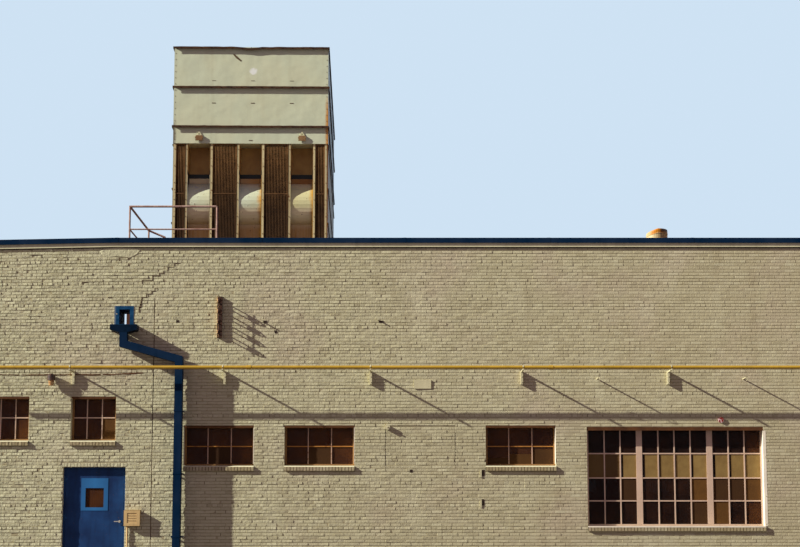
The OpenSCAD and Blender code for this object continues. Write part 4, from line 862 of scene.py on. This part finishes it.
def wall_wear():
    """Cracks, the caulked joint, holes, painted shadows beside two wall clips, the stain line, the painted
    shadow under the band and a parged patch.
    """
    gaps, holes, stain, parge = Solid(), Solid(), Solid(), Solid()
    cracks(gaps)
    for into, low, high in ((gaps, 0.0, 2.7), (holes, 2.7, 4.4), (gaps, 4.4, CAULK_TOP)):
        strip(into, CAULK_X - CAULK_HALF, low, CAULK_X + CAULK_HALF, high, 0.001)
    for x, z, w, h in SPOTS:
        strip(holes, x - w / 2, z - h / 2, x + w / 2, z + h / 2, SPOT_PROUD)
    strip(holes, -4.725, 5.195, -4.665, 5.25, RELIEF * 1.9)
    for i in range(STAIN_COUNT):
        a = LEFT_X + 0.05 + STAIN_L * i
        low = STAIN_Z + chance.uniform(-0.005, 0.005) + 0.045 * max(0.0, a - STAIN_RISE_X)
        thick = 0.02 if a > STAIN_THICK_X else 0.012
        strip(stain, a, low, a + STAIN_L, low + thick + chance.uniform(0, 0.006), STAIN_PROUD)
    # A dark painted shadow line under the band
    for i in range(BAND_SHADOW_COUNT):
        a = LEFT_X + BAND_SHADOW_L * i
        top = BAND_FOOT - sunk(FRONT, a + BAND_SHADOW_L / 2, BAND_FOOT)
        strip(holes, a, top - BAND_SHADOW_H, a + BAND_SHADOW_L, top, SPOT_PROUD)
    for x in (INFILL[0].x, INFILL[1].x):
        strip(holes, x - 0.005, INFILL[0].z, x + 0.005, INFILL[1].z - 0.1, RELIEF * 0.8)
    parge.prism([(x, FRONT_Y - 0.002, z - sunk(FRONT, x, z)) for x, z in PARGE],
                [(PARGE_X + (x - PARGE_X) * 0.93, FRONT_Y - 0.012,
                  PARGE_Z + (z - PARGE_Z) * 0.85 - sunk(FRONT, x, z)) for x, z in PARGE])
    parge.finish("parged_patch", BRICK)
    gaps.finish("wall_cracks", CRACK)
    holes.finish("wall_holes", DARK)
    stain.finish("wall_stain", HEAD_RUST)


wall_wear()


# Windows

def pane_edges(hole):
    """The left and right edge of each pane of the big window, between its frame and mullions."""
    column = (hole[2] - hole[0]) / BIG_COLUMNS
    posts_at = (0, *MULLIONS, BIG_COLUMNS)
    panes = []
    for first, last in zip(posts_at, posts_at[1:]):
        a = hole[0] + column * first + (MULLION_W / 2 if first in MULLIONS else SASH_W)
        b = hole[0] + column * last - (MULLION_W / 2 if last in MULLIONS else SASH_W)
        width = (b - a) / (last - first)
        panes += [(a + width * i, a + width * (i + 1)) for i in range(last - first)]
    return panes


def bars(side, hole, stops, rows, bar, material, name, cross=None):
    """The thin bars of one sash, before and behind its glass. The cross bars may have their own paint."""
    s0, z0, s1, z1 = hole
    upright, level = Solid(), Solid()
    depth = 0.022

    def stick(into, a, b, low, high, reach):
        into.prism(*([side.at(s, n - SASH_IN, z) for s, z in ((a, low), (b, low), (b, high), (a, high))]
                     for n in (-reach, reach)))

    for s in stops:
        stick(upright, s - bar / 2, s + bar / 2, z0 + SASH_W, z1 - SASH_W, depth)
    for z in rows:
        stick(level if cross else upright, s0 + SASH_W, s1 - SASH_W, z - bar / 2, z + bar / 2, depth - 0.001)
    upright.finish(name, material, "sash_paint")
    if cross:
        level.finish("cross_" + name, cross, "sash_paint")


BIG_PANES = pane_edges(BIG)
for side in SIDES:
    for k, hole in enumerate(HOLES[side.name]):
        name = "bars_%s_%d" % (side.name, k)
        thirds = [hole[0] + (hole[2] - hole[0]) * i / 3 for i in (1, 2)]
        small = side is FRONT and hole in SMALL
        middle = hole[1] + (0.53 if small else 0.49) * (hole[3] - hole[1])
        if hole is BIG:
            stops = [b for i, (a, b) in enumerate(BIG_PANES) if i + 1 not in (*MULLIONS, BIG_COLUMNS)]
            bars(side, hole, stops, BIG_ROWS, 0.026, SASH, name)
        elif small:
            bars(side, hole, thirds, [middle], 0.022, SASH, name)
        else:
            bars(side, hole, thirds, [middle], 0.020, SASH_WORN, name, SASH_RUST)

# The sheets behind the big window's third row and the stained films, by their tone. A film of the big
# window has its column and row, another its window, column, and low and high edge as shares of the height.
# The first two screen tones are low: painted shade of the big window's left reveal.
SCREEN_TONES = (0.42, 0.26, 0.86, 0.86, 0.82, 0.84, 1.0, 0.84, 0.84, 0.9)
FILM_TONES = {(2, 2): 0.3, (6, 2): 1.0, (7, 2): 0.35, (8, 2): 0.3, (9, 2): 0.75, (6, 3): 0.35, (7, 3): 0.8}
OTHER_FILMS = [(SMALL[1], 2, 0.0, 0.53, 0.75), (STRIPS[2], 0, 0.0, 0.2, 0.4), (STRIPS[2], 1, 0.0, 0.3, 0.55),
               (STRIPS[2], 2, 0.0, 0.42, 0.4), (STRIPS[0], 1, 0.0, 0.49, 0.25),
               (STRIPS[1], 1, 0.0, 0.49, 0.35)]
BIG_LEVELS = (BIG[3] - SASH_W, BIG_ROWS[2], BIG_ROWS[1], BIG_ROWS[0], BIG[1] + SASH_W)


def pane_sheets():
    screens, films = Solid(), Solid()
    face = FRONT_Y + SASH_IN - 0.005

    def sheet(into, a, low, b, high, tone):
        into.box((a, face - SHEET_T, low), (b, face, high), tone=tone)

    for i, (a, b) in enumerate(BIG_PANES):
        lean = chance.uniform(0.0, 0.012)
        # After the first two, each screen stops short of its pane's left bar, and the dark glass left there
        # is painted shadow of the bar.
        edge = a + (chance.uniform(0.03, 0.06) if i > 1 else 0.0)
        sheet(screens, edge, BIG_ROWS[1] + lean, b, BIG_ROWS[2], SCREEN_TONES[i])
        for (column, row), tone in FILM_TONES.items():
            if column == i:
                sheet(films, a, BIG_LEVELS[row + 1], b, BIG_LEVELS[row] - lean, tone)
    for (s0, z0, s1, z1), column, low, high, tone in OTHER_FILMS:
        a, b = (s0 + (s1 - s0) * (column + k) / 3 for k in (0, 1))
        z_low, z_high = (z0 + (z1 - z0) * share for share in (low, high))
        sheet(films, max(a, s0 + SASH_W), max(z_low, z0 + SASH_W),
              min(b, s1 - SASH_W), min(z_high, z1 - SASH_W), tone)
    films.finish("window_films", FILM, "window_glass")
    screens.finish("window_screens", SCREEN, "cream_trim")


def window_trim():
    """White sheets down the right jambs of the wide windows and beside the big one's right jamb, as painted
    sunlight on the reveals, and a white trim along the big one's sill.
    """
    trim = Solid()
    s0, z0, s1, z1 = BIG
    top = z1 - 0.075
    # White sheets down the right jambs: painted sunlight on the reveals.
    for right, low, high in [(h[2], h[1] + SASH_W, h[3] - 0.045) for h in STRIPS] + [(s1, z0, top)]:
        trim.box((right - TRIM_T, FRONT_Y - 0.004, low), (right, FRONT_Y + 0.174, high))
    trim.box((s0, FRONT_Y - SILL_OUT - 0.006, z0 - 0.03), (s1, FRONT_Y + 0.17, z0 - 0.001))
    # A white strip on the wall by the big window's right jamb: painted sunlight too.
    trim.box((s1 - TRIM_T, FRONT_Y - 0.006, z0), (s1 + 0.05, FRONT_Y - 0.002, top))
    trim.finish("window_trim", WHITE_TRIM, "cream_trim")


pane_sheets()
window_trim()


# Cooling unit

def wire_screens():
    """Woven wire in the four screened bays, in steel frames."""
    wires = Solid(on_unit)
    pitch, radius, face = 0.037, 0.0048, 0.023
    border, stile, rail_z = 0.025, 0.018, UNIT_Z + 1.24
    for k in (0, 2, 4, 6):
        x0, x1 = POST_X[k] + POST_W / 2, POST_X[k + 1] - POST_W / 2
        count = round((x1 - x0) / pitch)
        for i in range(1, count):
            x = x0 + (x1 - x0) * i / count
            wires.rod((x, face - radius, PAN_TOP), (x, face - radius, FAN_TOP), radius, 4)
        rows = round((FAN_TOP - PAN_TOP) / pitch)
        for j in range(1, rows):
            z = PAN_TOP + (FAN_TOP - PAN_TOP) * j / rows
            wires.rod((x0, face, z), (x1, face, z), radius * 0.8, 4)
        for z in (PAN_TOP, rail_z, FAN_TOP - border):
            wires.box((x0, face - 0.012, z), (x1, face + 0.012, z + border))
        for x in (x0, x1 - stile):
            wires.box((x, face - 0.01, PAN_TOP), (x + stile, face + 0.01, FAN_TOP))
    wires.finish("wire_screens", WIRE_RUST, "rusty_steel", stands_for="inlet_screens")


def posts():
    """Channel posts in front of the fans, of uneven width and tone."""
    solid = Solid(on_unit)
    depth, sheet = 0.06, 0.006
    for x, (left, right, tone) in zip(POST_X, POST_FORMS):
        a, b = x + left, x + right
        solid.box((a, 0.0, PAN_TOP), (b, sheet, FAN_TOP), tone)
        for c in (a, b - sheet):
            solid.box((c, sheet, PAN_TOP), (c + sheet, depth, FAN_TOP), tone)
    solid.finish("channel_posts", POST, "unit_paint", stands_for="unit_posts")


def lugs():
    """Lifting eyes: a cream eye over a rusty clamp, held off the casing by a bolt."""
    clamp, eye = Solid(on_unit), Solid(on_unit)
    foot = FAN_TOP + 0.066
    plates = ((0.0, 0.044, 0.088), (0.044, 0.056, 0.07), (0.056, 0.094, 0.098), (0.094, 0.128, 0.082))
    for x in (FAN_X[0], FAN_X[2]):
        for z0, z1, half in plates:
            clamp.box((x - half, -0.068, foot + z0), (x + half, -0.042, foot + z1))
        clamp.rod((x, -0.02, foot + 0.07), (x, -0.043, foot + 0.07), 0.02)
        z = foot + 0.124
        for s in (-1, 1):
            arm = [(x + s * 0.072, z), (x + s * 0.024, z + 0.03), (x, z + 0.075), (x, z + 0.125)]
            if s < 0:
                arm.reverse()
            eye.prism(*([(px, y, pz) for px, pz in arm] for y in (-0.038, -0.026)))
        eye.box((x - 0.06, -0.058, z), (x + 0.06, -0.019, z + 0.02))
    eye.finish("lifting_eyes", TRIM, "unit_paint")
    clamp.finish("lifting_clamps", LUG_RUST, "rusty_steel", stands_for="lifting_lugs")


def lips():
    """The angle round the top of each casing sheet. Its front is uneven, and the top one is dented."""
    solid = Solid(on_unit)
    lip_h, side_out, flange, count = 0.055, 0.03, 0.008, 44
    # The flat leg stops this far from the sheet, so that their faces don't lie in one plane
    seat = 0.0002
    side, back = UNIT_HALF + side_out, UNIT_D + side_out
    front = -CASING_OUT - LIP_OUT
    xs = [-side + 2 * side * i / count for i in range(count + 1)]

    for top in CASING_TOPS:
        dent = 0.036 if top == UPPER_TOP else 0.0
        drops = [dent * exp(-((x + 0.02) / 0.2) ** 2) + dent * 0.25 * exp(-((x - 0.45) / 0.12) ** 2)
                 + chance.uniform(0.0, 0.006) for x in xs]
        for low, y0, y1 in ((lip_h, front, front + flange), (flange, front + flange, -CASING_OUT - seat)):
            outline = ((y0, low), (y1, low), (y1, 0.0), (y0, 0.0))
            for i in range(count):
                solid.prism(*([(xs[k], y, top - drop - drops[k]) for y, drop in outline] for k in (i, i + 1)))
        for s in (-1, 1):
            for a, b, low in ((side - flange, side, lip_h), (UNIT_HALF + seat, side - flange, flange)):
                x0, x1 = sorted((s * a, s * b))
                solid.box((x0, -CASING_OUT, top - low), (x1, back - flange, top))
        for y0, y1, low in ((back - flange, back, lip_h), (UNIT_D + seat, back - flange, flange)):
            solid.box((-side, y0, top - low), (side, y1, top))
    for s in (-1, 1):
        x0, x1 = sorted((s * UNIT_HALF, s * (UNIT_HALF + 0.022)))
        for z in SEAM_Z:
            solid.box((x0, 0.06, z - 0.035), (x1, UNIT_D, z))
    solid.finish("casing_angles", LIP_RUST, "rusty_steel", stands_for="casing_lips")


def rails():
    """The platform's rail, of thin tube, with a tight bend at its right front corner."""
    solid = Solid()
    tube, thin, post, bend = 0.024, 0.017, 0.021, 0.035
    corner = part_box("platform_rails")[0]
    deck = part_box("service_platform")[1].z
    x0, y0 = corner.x + tube + 0.002, corner.y + tube + 0.002
    x1, y1 = x0 + 1.947, y0 + 3.212
    top, mid = deck + 1.074, deck + 0.558
    gate = (x0 + 0.4, y1, top - 0.17)
    turn = [(x1 - bend + bend * sin(t), y0, top - bend + bend * cos(t))
            for t in (pi / 8 * i for i in range(5))]
    runs = [((x0, y0, top), (x1 - bend, y0, top), tube), *((a, b, tube) for a, b in zip(turn, turn[1:])),
            ((x1, y0, deck), (x1, y0, top - bend), tube), ((x0, y0, mid), (x1, y0, mid), thin),
            ((x0, y0, top), (x0, y1, top), tube), ((x0, y0, mid), (x0, y1, mid), thin),
            ((x0, y0, deck), (x0, y0, top), post), ((x0, y1, deck), (x0, y1, top), post),
            ((x0, y1, top), gate, tube), ((gate[0], y1, deck), gate, post)]
    for a, b, radius in runs:
        solid.rod(a, b, radius, 12)
    solid.finish("rail_tubes", RAIL_RUST, "rusty_steel", stands_for="platform_rails")


def studs(name, places, direction, radius, height, material, slot):
    """Bolt heads at a list of points."""
    solid = Solid()
    for p in places:
        solid.rod(p, Vector(p) + Vector(direction) * height, radius, 6)
    solid.finish(name, material, slot)


def casing_details():
    """Slots and bolts of the casing, and a bent strip of loose sheet that hangs over its top band."""
    face = -CASING_OUT
    out = (sin(UNIT_TURN), -cos(UNIT_TURN), 0)
    marks = Solid()
    for x, z in [(x, z) for z in (11.37, 11.94) for x in (-0.92, 0.04, 1.0)] + [(0.0, 10.43)]:
        p = on_unit((x, face, z))
        top = -0.002 if z > 11.5 else 0.006
        marks.box(p + Vector((-0.045, -0.004, -0.012)), p + Vector((0.045, 0.002, top)))
    marks.finish("casing_marks", CRACK, "unit_paint")
    edge_bolts = [on_unit((s * (UNIT_HALF - 0.035), face, z)) for s in (-1, 1)
                  for z in [FAN_TOP + 0.1 + 0.155 * i for i in range(15)]
                  if all(abs(z - top + 0.03) > 0.06 for top in CASING_TOPS)]
    studs("edge_bolts", edge_bolts, out, 0.009, 0.006, CRACK, "rusty_steel")
    lip_bolts = [on_unit((-1.75 + 0.25 * i, face - LIP_OUT, top - 0.03))
                 for top in CASING_TOPS for i in range(15)]
    studs("lip_bolts", lip_bolts, out, 0.012, 0.01, LIP_RUST, "rusty_steel")
    post_bolts = [on_unit((x, 0.0, PAN_TOP + 0.2 + 0.42 * i)) for x in POST_X for i in range(6)]
    studs("post_bolts", post_bolts, out, 0.010, 0.008, WIRE_RUST, "rusty_steel")
    scratch = Solid(on_unit)
    loose = ((-0.46, 12.60), (-0.43, 12.615), (-0.345, 12.54), (-0.24, 12.445), (-0.265, 12.42),
             (-0.38, 12.505))
    scratch.prism(*([(x, y, z) for x, z in loose] for y in (face - 0.004, face)))
    scratch.finish("casing_scratch", CRACK, "unit_paint")


wire_screens()
posts()
lugs()
lips()
rails()
casing_details()


# Small parts of the street front, and the roof

def coping_joints():
    """Cover plates over the joints of the coping's sheets."""
    plates = Solid()
    low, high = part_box("coping_front")
    half, face = 0.035, low.y - 0.003
    for x in [LEFT_X + 0.55 + 3.05 * i for i in range(7)]:
        top = WALL_TOP - sunk(FRONT, x, WALL_TOP)
        plates.box((x - half, face, top - 0.085), (x + half, low.y + 0.001, top + 0.022))
        plates.box((x - half, face, top + 0.02), (x + half, high.y, top + 0.0225))
    plates.finish("coping_joints", BLUE, "blue_metal")


def pipe_fixings():
    """The bolts of the gas pipe's brackets, and a clamp over the pipe at each."""
    low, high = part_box("gas_pipe")
    y, z = (low.y + high.y) / 2, (low.z + high.z) / 2
    steps, inner, outer, width = 12, PIPE_R + 0.001, PIPE_R + 0.0065, 0.024
    clamps, bolts = Solid(), []
    for foot, head in islands("pipe_brackets"):
        x = (foot.x + head.x) / 2
        bolts += [(x, FRONT_Y - 0.084, foot.z + up) for up in (0.04, 0.16)]
        arc = [pi * (i / steps) for i in range(steps + 1)]
        ring = [(inner, t) for t in arc] + [(outer, t) for t in reversed(arc)]
        outline = [Vector((x - width / 2, y + r * cos(t), z + r * sin(t))) for r, t in ring]
        for i in range(steps):
            quad = (outline[i], outline[i + 1], outline[2 * steps - i], outline[2 * steps + 1 - i])
            clamps.prism(quad, [p + Vector((width, 0, 0)) for p in quad])
    studs("bracket_bolts", bolts, (0, -1, 0), 0.011, 0.01, FITTING, "cream_trim")
    clamps.finish("pipe_clamps", FITTING, "cream_trim")


def vent_cowl():
    """The roof vent: a banded pipe whose rounded top leans down to the left."""
    cowl = Solid()
    r = VENT[1].x - VENT_X - 0.06
    mid_y, high, sides = (VENT[0].y + VENT[1].y) / 2, VENT_TOP - 0.03, 32
    rings = [(r + 0.058, ROOF_Z + 0.001), (r + 0.058, ROOF_Z + 0.014), (r, ROOF_Z + 0.016), (r, high - 0.235),
             (r + 0.006, high - 0.232), (r + 0.006, high - 0.215), (r, high - 0.212), (r, high - 0.115),
             (r + 0.006, high - 0.112), (r + 0.006, high - 0.098), (r, high - 0.095), (r, high - 0.035),
             (r * 0.97, high - 0.013), (r * 0.88, high - 0.003), (r * 0.5, high), (0.002, high)]

    def rim(radius, z):
        lean = max(0.0, min(1.0, (z - high + 0.24) / 0.2))
        turns = [2 * pi * i / sides for i in range(sides)]
        return [Vector((VENT_X + radius * cos(t), mid_y + radius * sin(t),
                        z - lean * COWL_FALL * max(0.0, -radius * cos(t) / r))) for t in turns]

    for a, b in zip(rings, rings[1:]):
        cowl.prism(rim(*a), rim(*b), ends=(a is rings[0], b is rings[-1]))
    cowl.finish("vent_cowl", ORANGE, "orange_paint", stands_for="roof_vent")


def roof_felt():
    """Laps of the felt and a flashing along the foot of the parapet."""
    felt = Solid()
    lap, half_lap, lap_t, upstand, upstand_t = 0.95, 0.05, 0.004, 0.03, 0.012
    x0, y0, x1, y1 = LEFT_X + WALL_T, FRONT_Y + WALL_T, RIGHT_X - WALL_T, REAR_Y - WALL_T
    for i in range(1, int((x1 - x0) / lap)):
        x = x0 + i * lap
        felt.box((x - half_lap, y0 + 0.01, ROOF_Z), (x + half_lap, y1 - 0.01, ROOF_Z + lap_t),
                 tone=chance.random())
    for a, b, c, d in ((x0, y0, x1, y0 + upstand_t), (x0, y1 - upstand_t, x1, y1),
                       (x0, y0, x0 + upstand_t, y1), (x1 - upstand_t, y0, x1, y1)):
        felt.box((a, b, ROOF_Z), (c, d, ROOF_Z + upstand))
    felt.finish("roof_felt", ROOFING, "roofing")


coping_joints()
pipe_fixings()
vent_cowl()
roof_felt()


# Floor, light and camera

FLOOR_REACH = 400.0
FLOOR_SHOWN = (0.72, 0.72, 0.72, 1)
FLOOR_BOUNCE = (0.17, 0.15, 0.15, 1)
SUN_TRAVEL = Vector((3.4, 1.0, -1.85))
SUN_POWER = 7.4
SUN_COLOUR = (1.0, 0.97, 0.90)
SUN_SIZE = radians(0.9)
FILL = (0.262, 0.195, 0.262, 1.0)
SKY = (0.62, 0.76, 0.90, 1.0)
# The photograph's viewpoint: its distance from the wall, its height, its tilt and its focal length in pixels
VIEW_DISTANCE = 40.0
VIEW_HEIGHT = 0.38
VIEW_TILT = radians(8.34)
FOCAL_PX, IMAGE_W = 1909.0, 800


def stage():
    """A pale floor that throws less light back than it shows."""
    mesh = bpy.data.meshes.new("ground")
    corners = ((-1, -1), (1, -1), (1, 1), (-1, 1))
    mesh.from_pydata([(x * FLOOR_REACH, y * FLOOR_REACH, -0.002) for x, y in corners], [], [(0, 1, 2, 3)])
    material = bpy.data.materials.new("pale_floor")
    material.use_nodes = True
    tree = material.node_tree
    tree.nodes.clear()
    seen_by_camera = add_node(tree, "LightPath", {}, "Is Camera Ray")
    bounce, shown = (add_node(tree, "BsdfDiffuse", {"Color": c}) for c in (FLOOR_BOUNCE, FLOOR_SHOWN))
    mix = add_node(tree, "MixShader", {0: seen_by_camera, 1: bounce, 2: shown})
    plug(tree, tree.nodes.new("ShaderNodeOutputMaterial").inputs[0], mix)
    mesh.materials.append(material)
    add_object("ground", mesh)


def light():
    """A low sun, a sky to look at and a soft fill."""
    sun = bpy.data.lights.new("sun", "SUN")
    sun.energy, sun.color, sun.angle = SUN_POWER, SUN_COLOUR, SUN_SIZE
    add_object("sun", sun).rotation_euler = SUN_TRAVEL.to_track_quat("-Z", "Y").to_euler()
    world = bpy.data.worlds.new("studio")
    scene.world = world
    world.use_nodes = True
    tree = world.node_tree
    path = tree.nodes.new("ShaderNodeLightPath").outputs
    shown = Value(tree, path["Is Camera Ray"])
    for ray in ("Is Glossy Ray", "Is Transmission Ray"):
        shown = shown.math("MAXIMUM", path[ray])
    sky = add_node(tree, "Mix", {"Factor": shown, 6: FILL, 7: SKY}, 2, data_type="RGBA")
    plug(tree, tree.nodes["Background"].inputs["Color"], sky)


def camera():
    """Looks squarely at the front from the street, a little upwards."""
    lens = bpy.data.cameras.new("camera")
    lens.sensor_width = 36.0
    lens.lens = lens.sensor_width * FOCAL_PX / IMAGE_W
    lens.clip_end = 1000.0
    eye = add_object("camera", lens)
    eye.location = (0.0, FRONT_Y - VIEW_DISTANCE, VIEW_HEIGHT)
    eye.rotation_euler = (pi / 2 + VIEW_TILT, 0.0, 0.0)
    bpy.context.scene.camera = eye


stage()
light()
camera()
scene.view_settings.view_transform = "Standard"
